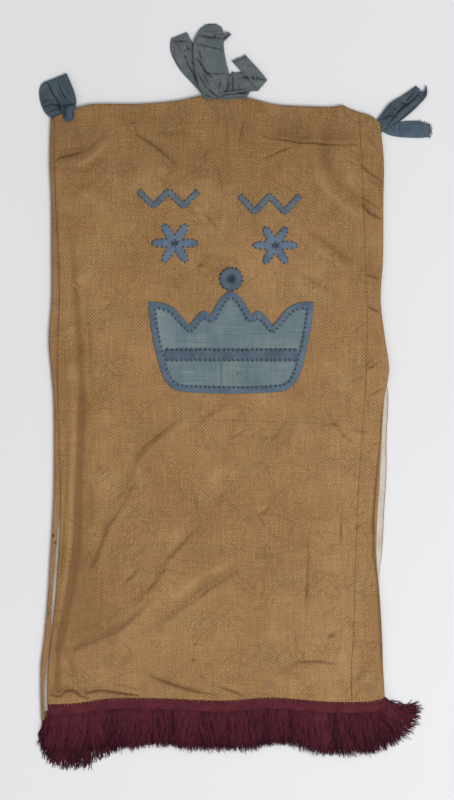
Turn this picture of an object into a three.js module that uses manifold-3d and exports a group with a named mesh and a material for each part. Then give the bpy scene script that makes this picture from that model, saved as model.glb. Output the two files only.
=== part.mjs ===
// A cloth cover for a scroll, laid out flat on its back, in millimetres.
// X runs across the cloth, Y towards its tied top edge, Z up from the surface that it lies on.
// Places are measured from the middle of the front's hem, and the whole is centred at the end.

import * as THREE from "three";
import { mergeVertices } from "three/addons/utils/BufferGeometryUtils.js";
import Module from "manifold-3d";

const wasm = await Module();
wasm.setup();

// Gaps and thicknesses
const gap = 0.3;
const backThickness = 1.1;
const liningThickness = 1.0;
const frontThickness = 1.4;
const ribbonThickness = 1.0;
const frontUnderside = 3.9;
const lowestTrough = -1.1;
const liningUnderside = backThickness + gap;

// Heading tapes and fringe
const headingDepth = 14;
const headingThickness = 1.6;
const backHeadingDepth = 12;
const headingGap = 0.8;
const frontStrandPitch = 3.5;
const backStrandPitch = 4.2;
const strandWidth = 2.8;
const strandHeight = 1.5;
const strandSink = 1.2;
const backStrandTop = 2.0;

// Rolled edge of the back, which shows as a border down the left side
const rollRadius = 2.05;
const narrowestBorder = 3.6;

// Ornaments
const borderWidth = 8.6;
const bandWidth = 15.6;
const zigzagWidth = 8.2;
const ornamentThickness = 1.0;
const overlayThickness = 0.8;

// Colours
const colours = {
  gold: 0x98754f,
  goldBack: 0x8f6e4a,
  lining: 0xc8beaa,
  wine: 0x4b2027,
  slate: 0x525f67,
  crown: 0x697a7e,
  crownEdge: 0x5e686c,
  blue: 0x566a84,
};

// The side edges: outer edge of the border, inner edge of the border, left edge of the front,
// seam of the side strip, and right edge, at each height y.
const sides = [
  { y: -26, border: -231.5, inner: -228.5, front: -223.0, seam: 178.0, right: 222.0 },
  { y: 10, border: -232.5, inner: -229.0, front: -223.5, seam: 177.5, right: 221.0 },
  { y: 46, border: -231.5, inner: -224.5, front: -222.0, seam: 177.0, right: 219.0 },
  { y: 79, border: -227.0, inner: -219.8, front: -218.6, seam: 179.5, right: 218.0 },
  { y: 132, border: -222.5, inner: -218.0, front: -213.0, seam: 181.0, right: 215.0 },
  { y: 185, border: -219.5, inner: -213.8, front: -209.0, seam: 182.5, right: 211.5 },
  { y: 240, border: -217.5, inner: -207.8, front: -206.8, seam: 184.5, right: 213.0 },
  { y: 290, border: -216.5, inner: -207.0, front: -206.5, seam: 187.0, right: 217.0 },
  { y: 396, border: -216.5, inner: -210.5, front: -210.0, seam: 194.5, right: 220.5 },
  { y: 436, border: -219.0, inner: -211.0, front: -210.5, seam: 196.5, right: 227.0 },
  { y: 475, border: -222.0, inner: -210.5, front: -210.0, seam: 197.5, right: 222.0 },
  { y: 528, border: -219.0, inner: -208.5, front: -208.0, seam: 197.5, right: 215.0 },
  { y: 581, border: -219.0, inner: -209.5, front: -209.0, seam: 195.5, right: 219.0 },
  { y: 660, border: -219.0, inner: -213.5, front: -213.0, seam: 193.0, right: 219.5 },
  { y: 713, border: -221.0, inner: -215.5, front: -215.0, seam: 190.5, right: 220.0 },
  { y: 768, border: -219.5, inner: -215.5, front: -215.0, seam: 187.5, right: 214.5 },
];

// The top edge, highest under the middle ribbon.
const topEdge = [
  { x: -219, y: 768 },
  { x: -187, y: 780 },
  { x: -165, y: 786 },
  { x: -102, y: 786.5 },
  { x: -16, y: 796 },
  { x: 37, y: 794.5 },
  { x: 80, y: 786.5 },
  { x: 123, y: 783 },
  { x: 166, y: 784 },
  { x: 186, y: 776 },
  { x: 216, y: 761 },
];

// The front's hem, a little wavy, and the back's hem, which hangs lower at the left.
const hem = [
  { x: -223, y: -5.5 },
  { x: -187, y: -4 },
  { x: -141, y: 2.5 },
  { x: -75, y: 2.5 },
  { x: 10, y: -0.5 },
  { x: 70, y: 3.5 },
  { x: 149, y: -2 },
  { x: 202, y: -1.5 },
  { x: 222, y: 3.5 },
];
const backHem = [
  { x: -232, y: -26 },
  { x: -165, y: -26 },
  { x: -140, y: -14 },
  { x: -110, y: -7 },
  { x: 222, y: -5 },
];
const liningAboveBackHem = 11.5;
const liningBelowTop = 32;

// Where the lining and the back stand out past the right edge or stay inside it.
const rightLayers = [
  { y: -26, lining: -4.0, back: -2.0 },
  { y: 140, lining: -2.0, back: -1.5 },
  { y: 175, lining: 1.5, back: 0.5 },
  { y: 260, lining: 4.5, back: 3.0 },
  { y: 345, lining: 3.5, back: 2.5 },
  { y: 400, lining: 3.0, back: 2.0 },
  { y: 425, lining: -3.0, back: -2.0 },
  { y: 768, lining: -4.0, back: -2.0 },
];

// The main folds: the points that each runs through, its half width, and its height,
// which is below nought for a trough.
const folds = [
  { name: "left furrow", width: 11, height: -1.1, path: [[-185, 525], [-173, 396], [-179, 251], [-210, 53]] },
  { name: "left ridge", width: 12, height: 3.2, path: [[-197, 489], [-196, 264], [-204, 158]] },
  { name: "left lip", width: 12, height: 2.4, path: [[-158, 470], [-152, 396], [-160, 251], [-187, 80]] },
  { name: "upper slant", width: 10, height: 2.6, path: [[-112, 751], [-82, 731], [-36, 693]] },
  { name: "corner tuck", width: 9, height: 2.8, path: [[-205, 713], [-182, 722], [-161, 738], [-149, 765]] },
  { name: "corner slant", width: 9, height: 2.4, path: [[-181, 675], [-158, 690], [-128, 720]] },
  { name: "top tuck", width: 7, height: 3.4, path: [[53, 744], [92, 738], [149, 732], [188, 733]] },
  { name: "right shoulder", width: 16, height: 3.0, path: [[126, 775], [140, 740], [149, 690], [186, 656]] },
  { name: "right drag", width: 12, height: 2.2, path: [[126, 600], [177, 573], [190, 570]] },
  { name: "middle drag", width: 10, height: 2.0, path: [[-49, 369], [-84, 340], [-115, 295], [-158, 186]] },
  { name: "middle band", width: 14, height: 1.4, path: [[24, 373], [149, 363], [188, 353]] },
  { name: "lower drag", width: 11, height: 2.4, path: [[-190, 66], [-137, 88], [-75, 138]] },
  { name: "lower slant", width: 11, height: 2.2, path: [[-132, 91], [-60, 115], [30, 169]] },
  { name: "hem drag", width: 10, height: 2.2, path: [[-88, 38], [-57, 30], [-18, 20]] },
  { name: "hem sweep", width: 12, height: 1.8, path: [[-34, 42], [35, 32], [62, 24]] },
  { name: "hem rise", width: 12, height: 1.8, path: [[51, 42], [90, 50], [156, 51]] },
];

const mix = THREE.MathUtils.lerp;
const ramp = THREE.MathUtils.smoothstep;
const radians = THREE.MathUtils.degToRad;

// Reads one column of a table at a place between its rows, as a smooth curve.
function readTable(rows, key, column, at) {
  const last = rows.length - 1;
  const place = THREE.MathUtils.clamp(at, rows[0][key], rows[last][key]);
  let i = 0;
  while (i < last - 1 && place > rows[i + 1][key]) i += 1;
  const slope = (k) => {
    const before = rows[Math.max(k - 1, 0)];
    const after = rows[Math.min(k + 1, last)];
    return (after[column] - before[column]) / (after[key] - before[key]);
  };
  const span = rows[i + 1][key] - rows[i][key];
  const t = (place - rows[i][key]) / span;
  return (
    rows[i][column] * (1 + 2 * t) * (1 - t) ** 2 +
    rows[i + 1][column] * t * t * (3 - 2 * t) +
    slope(i) * span * t * (1 - t) ** 2 +
    slope(i + 1) * span * t * t * (t - 1)
  );
}

const side = (column, y) => readTable(sides, "y", column, y);
const topOf = (x) => readTable(topEdge, "x", "y", x);
const hemOf = (x) => readTable(hem, "x", "y", x);
const backHemOf = (x) => readTable(backHem, "x", "y", x);

// How far a place is from a line of [x, y] points, and how far along it the nearest one is, from 0 to 1.
function nearestOnLine(through, x, y) {
  let best = { away: Infinity, along: 0 };
  const pieces = through.length - 1;
  for (let i = 0; i < pieces; i += 1) {
    const [ax, ay] = through[i];
    const [bx, by] = through[i + 1];
    const reach = (bx - ax) ** 2 + (by - ay) ** 2;
    const t = THREE.MathUtils.clamp(((x - ax) * (bx - ax) + (y - ay) * (by - ay)) / reach, 0, 1);
    const away = Math.hypot(x - mix(ax, bx, t), y - mix(ay, by, t));
    if (away < best.away) best = { away, along: (i + t) / pieces };
  }
  return best;
}

// How high the front's cloth stands above its flat level.
function relief(x, y) {
  let height = 0.9 * Math.sin(x / 62 + 0.6) * Math.sin(y / 88 + 0.3);
  for (const fold of folds) {
    const { away, along } = nearestOnLine(fold.path, x, y);
    const taper = Math.sqrt(Math.max(Math.sin(Math.PI * mix(0.06, 0.94, along)), 0));
    height += fold.height * taper * Math.exp(-((away / fold.width) ** 2));
  }
  const fromHem = ramp(y - hemOf(x), 0, 26);
  const fromTop = ramp(topOf(x) - y, 0, 22);
  const fromSides = ramp(x - side("front", y), 0, 14) * ramp(side("right", y) - x, 0, 12);
  return Math.max(height * fromHem * fromTop * fromSides, lowestTrough);
}

const frontTop = (x, y) => frontUnderside + frontThickness + relief(x, y);

// A geometry from points and triangles, turned to face outwards.
function closedGeometry(points, faces) {
  const geometry = new THREE.BufferGeometry();
  geometry.setAttribute("position", new THREE.Float32BufferAttribute(points.flatMap((p) => p.toArray()), 3));
  const crossed = new THREE.Vector3();
  const volume = faces.reduce(
    (sum, [a, b, c]) => sum + points[a].dot(crossed.crossVectors(points[b], points[c])),
    0,
  );
  const outward = volume < 0 ? faces.map(([a, b, c]) => [a, c, b]) : faces;
  geometry.setIndex(outward.flat());
  return geometry;
}

// A closed sheet between two faces, each a grid of points read as rows of columns.
function sheetBetween(lower, upper) {
  const rows = lower.length;
  const columns = lower[0].length;
  const points = [...lower.flat(), ...upper.flat()];
  const raised = rows * columns;
  const faces = [];
  const quad = (a, b, c, d) => faces.push([a, b, c], [a, c, d]);
  for (let j = 0; j < rows - 1; j += 1) {
    for (let i = 0; i < columns - 1; i += 1) {
      const a = j * columns + i;
      const d = a + columns;
      quad(a + raised, a + 1 + raised, d + 1 + raised, d + raised);
      quad(a, d, d + 1, a + 1);
    }
  }
  for (let i = 0; i < columns - 1; i += 1) {
    const far = (rows - 1) * columns + i;
    quad(i, i + 1, i + 1 + raised, i + raised);
    quad(far + 1, far, far + raised, far + 1 + raised);
  }
  for (let j = 0; j < rows - 1; j += 1) {
    const near = j * columns;
    const far = near + columns - 1;
    quad(near + columns, near, near + raised, near + columns + raised);
    quad(far, far + columns, far + columns + raised, far + raised);
  }
  return closedGeometry(points, faces);
}

// A grid of points from a function of u across and v along, each from 0 to 1.
function gridOf(columns, rows, pointAt) {
  const across = Array.from({ length: columns + 1 }, (_, i) => i / columns);
  const along = Array.from({ length: rows + 1 }, (_, j) => j / rows);
  return along.map((v) => across.map((u) => pointAt(u, v)));
}

const raisedBy = (grid, height) =>
  grid.map((row) => row.map((p) => new THREE.Vector3(p.x, p.y, p.z + height)));

// A sheet on each side of a middle grid, half its thickness away along the normals.
function sheetAround(grid, thickness) {
  const last = { row: grid.length - 1, column: grid[0].length - 1 };
  const offset = (sign) =>
    grid.map((row, j) =>
      row.map((p, i) => {
        const across = row[Math.min(i + 1, last.column)].clone().sub(row[Math.max(i - 1, 0)]);
        const along = grid[Math.min(j + 1, last.row)][i].clone().sub(grid[Math.max(j - 1, 0)][i]);
        const normal = across.cross(along).normalize();
        return p.clone().addScaledVector(normal, (sign * thickness) / 2);
      }),
    );
  return sheetBetween(offset(-1), offset(1));
}

// A place on a panel between two side columns and between its hem and its top.
function placeOnPanel(u, v, left, right, bottomOf, upperOf) {
  let x = 0;
  let y = 0;
  for (let pass = 0; pass < 4; pass += 1) {
    y = mix(bottomOf(x), upperOf(x), v);
    x = mix(left(y), right(y), u);
  }
  return { x, y };
}

// A flat layer of cloth with its underside at one level, plus the relief where it has one.
function panel({ left, right, bottomOf, upperOf, columns, rows, thickness, underside }) {
  const lower = gridOf(columns, rows, (u, v) => {
    const { x, y } = placeOnPanel(u, v, left, right, bottomOf, upperOf);
    return new THREE.Vector3(x, y, underside(x, y));
  });
  return sheetBetween(lower, raisedBy(lower, thickness));
}

function frontPanel() {
  return panel({
    left: (y) => side("front", y),
    right: (y) => side("seam", y) - gap / 2,
    bottomOf: hemOf,
    upperOf: topOf,
    columns: 23,
    rows: 41,
    thickness: frontThickness,
    underside: (x, y) => frontUnderside + relief(x, y),
  });
}

function sideStrip() {
  return panel({
    left: (y) => side("seam", y) + gap / 2,
    right: (y) => side("right", y),
    bottomOf: hemOf,
    upperOf: topOf,
    columns: 3,
    rows: 30,
    thickness: frontThickness,
    underside: (x, y) => frontUnderside + relief(x, y),
  });
}

function liningPanel() {
  return panel({
    left: (y) => side("border", y) + narrowestBorder - 1,
    right: (y) => side("right", y) + readTable(rightLayers, "y", "lining", y),
    bottomOf: (x) => backHemOf(x) + liningAboveBackHem,
    upperOf: (x) => topOf(x) - liningBelowTop,
    columns: 2,
    rows: 24,
    thickness: liningThickness,
    underside: () => liningUnderside,
  });
}

// The back lies flat, and its left edge rolls up and over the front's edge as a border.
function backPanel() {
  const middle = backThickness / 2;
  const crest = middle + 2 * rollRadius;
  const section = [
    { from: "right", x: 0, z: middle },
    { from: "border", x: 230, z: middle },
    { from: "border", x: 122, z: middle },
    { from: "border", x: 106, z: middle },
    { from: "border", x: 92, z: middle },
    { from: "border", x: 79, z: middle },
    { from: "border", x: 66, z: middle },
    { from: "border", x: 12, z: middle },
    { from: "border", x: rollRadius + 0.6, z: middle },
    { from: "border", x: 1.1, z: middle + 0.6 },
    { from: "border", x: middle, z: middle + rollRadius },
    { from: "border", x: 1.1, z: crest - 0.6 },
    { from: "border", x: rollRadius + 0.6, z: crest },
    { from: "inner", x: 0, z: crest },
  ];
  const columns = section.length - 1;
  const grid = gridOf(columns, 26, (u, v) => {
    const corner = section[Math.round(u * columns)];
    let x = 0;
    let y = 0;
    for (let pass = 0; pass < 4; pass += 1) {
      y = mix(backHemOf(x), topOf(x) - 2, v);
      const border = side("border", y);
      x = side(corner.from, y) + corner.x;
      if (corner.from === "right") x += readTable(rightLayers, "y", "back", y);
      if (corner.from === "inner") x = Math.max(x, border + narrowestBorder);
    }
    return new THREE.Vector3(x, y, corner.z);
  });
  return sheetAround(grid, backThickness);
}

// A geometry as a solid that can be joined and cut, and back again.
function solidOf(geometry) {
  const bare = geometry.clone();
  bare.deleteAttribute("normal");
  bare.deleteAttribute("uv");
  const merged = mergeVertices(bare, 1e-4);
  const vertProperties = merged.attributes.position.array;
  const triVerts = new Uint32Array(merged.index.array);
  return new wasm.Manifold(new wasm.Mesh({ numProp: 3, vertProperties, triVerts }));
}

function geometryOf(solid) {
  const { vertProperties, triVerts } = solid.getMesh();
  const geometry = new THREE.BufferGeometry();
  geometry.setAttribute("position", new THREE.BufferAttribute(new Float32Array(vertProperties), 3));
  geometry.setIndex(new THREE.BufferAttribute(new Uint32Array(triVerts), 1));
  return geometry;
}

// A flat piece sewn to the front: its outline cut from a layer that follows the front's relief.
const latticeStep = 30;
const prismHeight = 30;
const prism = (outline) =>
  solidOf(new THREE.ExtrudeGeometry(new THREE.Shape(outline), { depth: prismHeight, bevelEnabled: false }));

function sewnPiece(outline, { level, thickness, hole }) {
  const box = new THREE.Box2().setFromPoints(outline).expandByScalar(2);
  const size = box.getSize(new THREE.Vector2());
  const columns = Math.ceil(size.x / latticeStep);
  const rows = Math.ceil(size.y / latticeStep);
  const lower = gridOf(columns, rows, (u, v) => {
    const x = mix(box.min.x, box.max.x, u);
    const y = mix(box.min.y, box.max.y, v);
    return new THREE.Vector3(x, y, frontTop(x, y) + level);
  });
  const layer = solidOf(sheetBetween(lower, raisedBy(lower, thickness)));
  const piece = layer.intersect(prism(outline));
  return geometryOf(hole ? piece.subtract(prism(hole)) : piece);
}

// The outline moved inwards by a width, each corner along its own mitre. A point that would come
// nearer to the outline than that, as inside a tight curve, is left out.
function inset(outline, width) {
  const count = outline.length;
  const turn = THREE.ShapeUtils.isClockWise(outline) ? -1 : 1;
  const closed = [...outline, outline[0]].map((p) => p.toArray());
  const moved = outline.map((p, i) => {
    const into = p.clone().sub(outline[(i + count - 1) % count]).normalize();
    const away = outline[(i + 1) % count].clone().sub(p).normalize();
    const across = into.clone().add(away).normalize();
    const inward = new THREE.Vector2(-across.y, across.x).multiplyScalar(turn);
    return p.clone().addScaledVector(inward, width / Math.cos(into.angleTo(away) / 2));
  });
  return moved.filter((p) => nearestOnLine(closed, p.x, p.y).away > 0.98 * width);
}

// A strip of one width along a line, as an outline with mitred corners.
function stripOutline(line, width) {
  const edge = (sign) =>
    line.map((p, i) => {
      const into = p.clone().sub(line[Math.max(i - 1, 0)]);
      const away = line[Math.min(i + 1, line.length - 1)].clone().sub(p);
      if (into.length() === 0) into.copy(away);
      if (away.length() === 0) away.copy(into);
      into.normalize();
      away.normalize();
      const across = into.clone().add(away).normalize();
      const reach = width / 2 / Math.cos(into.angleTo(away) / 2);
      return new THREE.Vector2(p.x - across.y * sign * reach, p.y + across.x * sign * reach);
    });
  return [...edge(-1), ...edge(1).reverse()];
}

// The crown, drawn as a right half and mirrored: peak, hump, valley, horn and round lower corner.
const crown = { x: 18.5, y: 404.5, peak: 135.5, ball: 15.5 };
function crownOutline() {
  const half = new THREE.Path();
  half.moveTo(0, crown.peak);
  half.quadraticCurveTo(17, 132, 23, 116);
  half.lineTo(26, 104);
  half.quadraticCurveTo(38, 115, 45, 100);
  half.lineTo(54, 87);
  half.quadraticCurveTo(72, 118, 110, 120);
  half.quadraticCurveTo(100, 82, 95.5, 42);
  half.quadraticCurveTo(89, 4, 62, 2);
  half.quadraticCurveTo(31, 0, 0, 0);
  const right = half.getPoints(5);
  const left = right.slice(1, -1).reverse().map((p) => new THREE.Vector2(-p.x, p.y));
  return [...right, ...left].map((p) => new THREE.Vector2(crown.x + p.x, crown.y + p.y));
}

const firstLayer = { level: gap, thickness: ornamentThickness };
const secondLayer = { level: 2 * gap + ornamentThickness, thickness: overlayThickness };

function crownPatch() {
  return sewnPiece(inset(crownOutline(), borderWidth + gap), firstLayer);
}

function crownBorder() {
  const outline = crownOutline();
  return sewnPiece(outline, { ...firstLayer, hole: inset(outline, borderWidth) });
}

function crownBand() {
  const centre = { x: crown.x, y: crown.y + 51 };
  const half = { x: 87, y: bandWidth / 2 };
  const corners = [
    new THREE.Vector2(centre.x - half.x, centre.y - half.y),
    new THREE.Vector2(centre.x + half.x, centre.y - half.y),
    new THREE.Vector2(centre.x + half.x + 1.5, centre.y + half.y),
    new THREE.Vector2(centre.x - half.x - 1.5, centre.y + half.y),
  ];
  return sewnPiece(corners, secondLayer);
}

// The ball is a round gathered piece with a hollow at its middle.
function crownBall() {
  const centre = { x: crown.x, y: crown.y + crown.peak + gap + crown.ball };
  const level = frontTop(centre.x, centre.y) + gap + 0.2;
  const rings = [
    { r: 0, z: level + 0.8 },
    { r: 2.6, z: level + 1.2 },
    { r: 6, z: level + 2.4 },
    { r: 10.5, z: level + 2.6 },
    { r: 14.2, z: level + 1.8 },
    { r: crown.ball, z: level + 0.7 },
    { r: crown.ball, z: level },
    { r: 0, z: level },
  ];
  const profile = rings.map(({ r, z }) => new THREE.Vector2(r, z)).reverse();
  const geometry = new THREE.LatheGeometry(profile, 24);
  geometry.rotateX(Math.PI / 2);
  geometry.translate(centre.x, centre.y, 0);
  return geometryOf(solidOf(geometry));
}

// A zigzag mark with two dips, as one strip.
function zigzag({ x, y, pitch, drop }) {
  const line = [0, 1, 2, 3, 4].map((i) => new THREE.Vector2(x + (i - 2) * pitch, y + (i % 2 ? -drop : 0)));
  return sewnPiece(stripOutline(line, zigzagWidth), firstLayer);
}

// A rosette with six round petals.
function rosette({ x, y, halfWidth, halfHeight }) {
  const steps = 60;
  const outline = Array.from({ length: steps }, (_, i) => {
    const turn = (2 * Math.PI * (i + 0.5)) / steps;
    const size = 0.7 + 0.3 * Math.cos(6 * turn);
    return new THREE.Vector2(x + halfWidth * size * Math.cos(turn), y + halfHeight * size * Math.sin(turn));
  });
  return sewnPiece(outline, firstLayer);
}

// A ribbon through rows of its two edges, in so many steps along.
const ribbonColumns = 3;
function ribbon(rows, steps) {
  const edge = (column) =>
    new THREE.CatmullRomCurve3(rows.map((row) => new THREE.Vector3(...row[column])), false, "centripetal");
  const left = edge("left");
  const right = edge("right");
  const grid = gridOf(ribbonColumns, steps, (u, v) => left.getPoint(v).lerp(right.getPoint(v), u));
  return sheetAround(grid, ribbonThickness);
}

// The left ribbon comes out between the layers at the corner and folds back over itself.
const leftLoopRows = [
  { left: [-205, 762, 2.6], right: [-192, 767, 2.6] },
  { left: [-222, 771, 1.8], right: [-205, 779, 2.2] },
  { left: [-230, 786, 0.7], right: [-199, 797, 0.7] },
  { left: [-232, 806, 0.7], right: [-200, 819, 0.7] },
  { left: [-228, 812, 1.6], right: [-200, 824, 1.6] },
  { left: [-224, 811, 3.4], right: [-200, 822, 3.4] },
  { left: [-217, 799, 4.6], right: [-193, 808, 4.4] },
  { left: [-209, 788, 5.0], right: [-187, 795, 4.6] },
  { left: [-206, 783, 6.6], right: [-186, 786, 6.6] },
];
const leftTailRows = [
  { left: [-204, 781, 8.4], right: [-188, 783, 8.4] },
  { left: [-203, 774, 8.0], right: [-187, 775, 7.8] },
  { left: [-203, 766, 7.2], right: [-188, 767, 7.0] },
  { left: [-202, 760, 6.9], right: [-190, 761, 6.7] },
];

// The middle ribbon's long piece stands up from the top edge, its left lobe folds over at the
// outer end, and its right end turns up as a flap.
const middleRows = [
  { left: [-11, 789, 8.4], right: [20, 788, 8.2] },
  { left: [-20, 806, 7.6], right: [18, 806, 7.4] },
  { left: [-27, 826, 6.4], right: [16, 825, 5.4] },
  { left: [-28, 846, 5.8], right: [12, 843, 3.4] },
  { left: [-30, 866, 4.6], right: [9, 861, 2.0] },
  { left: [-26, 880, 2.4], right: [10, 877, 1.6] },
  { left: [-19, 890, 0.8], right: [5, 890, 0.8] },
];
const leftLobeRows = [
  { left: [-18, 787, 6.6], right: [-4, 785, 6.6] },
  { left: [-24, 799, 6.0], right: [-8, 800, 6.2] },
  { left: [-38, 816, 1.4], right: [-13, 815, 2.2] },
  { left: [-54, 834, 0.7], right: [-19, 832, 0.7] },
  { left: [-62, 857, 0.7], right: [-28, 855, 0.7] },
  { left: [-61, 873, 1.5], right: [-41, 883, 1.5] },
  { left: [-56, 869, 3.1], right: [-37, 877, 3.1] },
  { left: [-46, 857, 3.2], right: [-33, 862, 3.2] },
];
const rightFlapRows = [
  { left: [14, 785, 6.6], right: [39, 785, 6.6] },
  { left: [15, 798, 6.1], right: [41, 797, 6.0] },
  { left: [18, 815, 2.4], right: [44, 803, 2.0] },
  { left: [32, 825, 0.7], right: [49, 803.5, 0.7] },
  { left: [52, 825, 0.7], right: [54, 804, 0.7] },
  { left: [66, 818, 1.7], right: [55, 805.5, 1.7] },
  { left: [62, 824, 3.0], right: [49, 811, 3.0] },
  { left: [38, 851, 2.4], right: [20, 843, 2.6] },
];

// The right ribbon has two tails, the upper one lying over the lower.
const rightUpperRows = [
  { left: [206, 757, 2.2], right: [208, 741, 2.2] },
  { left: [218, 775, 2.6], right: [221, 752, 2.6] },
  { left: [229, 788, 3.0], right: [240, 763, 3.2] },
  { left: [245, 798, 2.4], right: [258, 777, 2.8] },
  { left: [263, 811, 0.9], right: [274, 793, 1.4] },
];
const rightLowerRows = [
  { left: [224, 753, 0.7], right: [222.5, 750.5, 0.7] },
  { left: [238, 762, 0.7], right: [240, 743.5, 0.7] },
  { left: [256, 765, 0.7], right: [258, 742, 0.7] },
  { left: [279, 760, 0.7], right: [280, 743, 0.7] },
];

// One strand of fringe: three sides, flat underneath, from its root to a thin tip.
const strandStages = [
  { along: 0, size: 1 },
  { along: 0.5, size: 1 },
  { along: 1, size: 0.55 },
];
function strand({ x, y, rootLevel, angle, bend, length, restLevel }) {
  const sections = strandStages.map(({ along, size }) => {
    const heading = radians(angle + bend * along);
    const reach = along * length;
    const at = { x: x + Math.cos(heading) * reach, y: y + Math.sin(heading) * reach };
    const level = mix(rootLevel, restLevel(at.x), ramp(along, 0, 0.6));
    const aside = { x: -Math.sin(heading), y: Math.cos(heading) };
    const half = (strandWidth / 2) * size;
    return [
      new THREE.Vector3(at.x + aside.x * half, at.y + aside.y * half, level),
      new THREE.Vector3(at.x - aside.x * half, at.y - aside.y * half, level),
      new THREE.Vector3(at.x, at.y, level + strandHeight * size),
    ];
  });
  const faces = [[0, 1, 2]];
  for (let s = 0; s < sections.length - 1; s += 1) {
    for (let k = 0; k < 3; k += 1) {
      const a = s * 3 + k;
      const b = s * 3 + ((k + 1) % 3);
      faces.push([a, a + 3, b + 3], [a, b + 3, b]);
    }
  }
  const tip = (sections.length - 1) * 3;
  faces.push([tip + 2, tip + 1, tip]);
  return solidOf(closedGeometry(sections.flat(), faces));
}

// A small even spread of numbers between -1 and 1 that repeats on every run.
const uneven = (i) => Math.sin(i * 12.9898) * Math.cos(i * 4.137);

// A heading tape with its strands: fan gives the angle and the length at each place on its edge.
function fringe({ from, to, edgeOf, depth, underside, fan, pitch, endStrands, restLevel }) {
  const tape = panel({
    left: () => from,
    right: () => to,
    bottomOf: (x) => edgeOf(x) - headingGap - depth,
    upperOf: (x) => edgeOf(x) - headingGap,
    columns: 28,
    rows: 1,
    thickness: headingThickness,
    underside: () => underside,
  });
  const lowerEdge = (x) => edgeOf(x) - headingGap - depth + strandSink;
  const count = Math.floor((to - from - strandWidth) / pitch);
  const roots = Array.from({ length: count + 1 }, (_, i) => {
    const x = from + strandWidth / 2 + i * pitch;
    return { x, y: lowerEdge(x), place: x };
  });
  for (let i = 1; i <= endStrands; i += 1) {
    roots.push({ x: to - strandSink, y: lowerEdge(to) + i * (strandWidth + 0.3), place: to + i * pitch });
  }
  return geometryOf(
    roots.reduce((joined, root, i) => {
      const angle = readTable(fan, "place", "angle", root.place);
      const length = readTable(fan, "place", "length", root.place) * (1 + 0.05 * uneven(i));
      const bend = 2.5 * uneven(i >> 3);
      const made = strand({ ...root, rootLevel: underside + 0.05, angle, bend, length, restLevel });
      return joined.add(made);
    }, solidOf(tape)),
  );
}

// Angles are in degrees from +X, so that -90 hangs straight down.
const frontFan = [
  { place: -223, angle: -98, length: 50 },
  { place: -160, angle: -94, length: 51 },
  { place: -60, angle: -91, length: 48 },
  { place: 60, angle: -90, length: 47 },
  { place: 150, angle: -87, length: 53 },
  { place: 190, angle: -80, length: 53 },
  { place: 208, angle: -68, length: 50 },
  { place: 221, angle: -46, length: 45 },
  { place: 226, angle: -28, length: 44 },
  { place: 232, angle: -2, length: 49 },
];
const backFan = [
  { place: -231, angle: -95, length: 46 },
  { place: -200, angle: -93, length: 52 },
  { place: -165, angle: -92, length: 50 },
  { place: -140, angle: -91, length: 50 },
  { place: 208, angle: -89, length: 48 },
];

function frontFringe() {
  return fringe({
    from: -223,
    to: 222,
    edgeOf: hemOf,
    depth: headingDepth,
    underside: frontUnderside,
    fan: frontFan,
    pitch: frontStrandPitch,
    endStrands: 3,
    restLevel: (x) => mix(backStrandTop, 0, ramp(x, 216, 238)),
  });
}

function backFringe() {
  return fringe({
    from: -231,
    to: 206,
    edgeOf: backHemOf,
    depth: backHeadingDepth,
    underside: 0,
    fan: backFan,
    pitch: backStrandPitch,
    endStrands: 0,
    restLevel: () => 0,
  });
}

// Each piece's name, finish and maker.
const cloth = { colour: colours.gold, roughness: 0.65 };
const thread = { colour: colours.wine, roughness: 0.9 };
const edging = { colour: colours.crownEdge, roughness: 0.7 };
const blueRibbon = { colour: colours.blue, roughness: 0.7 };
const tieRibbon = { colour: colours.slate, roughness: 0.6 };
const leftZigzag = { x: -64, y: 670.5, pitch: 19.6, drop: 18 };
const rightZigzag = { x: 69.5, y: 664.5, pitch: 19.8, drop: 20 };
const leftRosette = { x: -55.5, y: 603, halfWidth: 31, halfHeight: 29 };
const rightRosette = { x: 77, y: 600, halfWidth: 30, halfHeight: 28 };
const pieces = [
  { name: "back_panel", finish: { colour: colours.goldBack, roughness: 0.7 }, make: backPanel },
  { name: "lining", finish: { colour: colours.lining, roughness: 0.9 }, make: liningPanel },
  { name: "front_panel", finish: cloth, make: frontPanel },
  { name: "side_strip", finish: cloth, make: sideStrip },
  { name: "front_fringe", finish: thread, make: frontFringe },
  { name: "back_fringe", finish: thread, make: backFringe },
  { name: "crown_patch", finish: { colour: colours.crown, roughness: 0.8 }, make: crownPatch },
  { name: "crown_border", finish: edging, make: crownBorder },
  { name: "crown_band", finish: edging, make: crownBand },
  { name: "crown_ball", finish: blueRibbon, make: crownBall },
  { name: "zigzag_left", finish: blueRibbon, make: () => zigzag(leftZigzag) },
  { name: "zigzag_right", finish: blueRibbon, make: () => zigzag(rightZigzag) },
  { name: "rosette_left", finish: blueRibbon, make: () => rosette(leftRosette) },
  { name: "rosette_right", finish: blueRibbon, make: () => rosette(rightRosette) },
  { name: "left_tie_loop", finish: tieRibbon, make: () => ribbon(leftLoopRows, 18) },
  { name: "left_tie_tail", finish: tieRibbon, make: () => ribbon(leftTailRows, 6) },
  { name: "middle_tie_long", finish: tieRibbon, make: () => ribbon(middleRows, 12) },
  { name: "middle_tie_lobe", finish: tieRibbon, make: () => ribbon(leftLobeRows, 15) },
  { name: "middle_tie_flap", finish: tieRibbon, make: () => ribbon(rightFlapRows, 16) },
  { name: "right_tie_upper", finish: tieRibbon, make: () => ribbon(rightUpperRows, 10) },
  { name: "right_tie_lower", finish: tieRibbon, make: () => ribbon(rightLowerRows, 8) },
];

const mantle = new THREE.Group();
for (const { name, finish, make } of pieces) {
  const { colour, roughness } = finish;
  const material = new THREE.MeshStandardMaterial({ color: colour, roughness, metalness: 0 });
  const mesh = new THREE.Mesh(make(), material);
  mesh.name = name;
  mantle.add(mesh);
}

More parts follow.
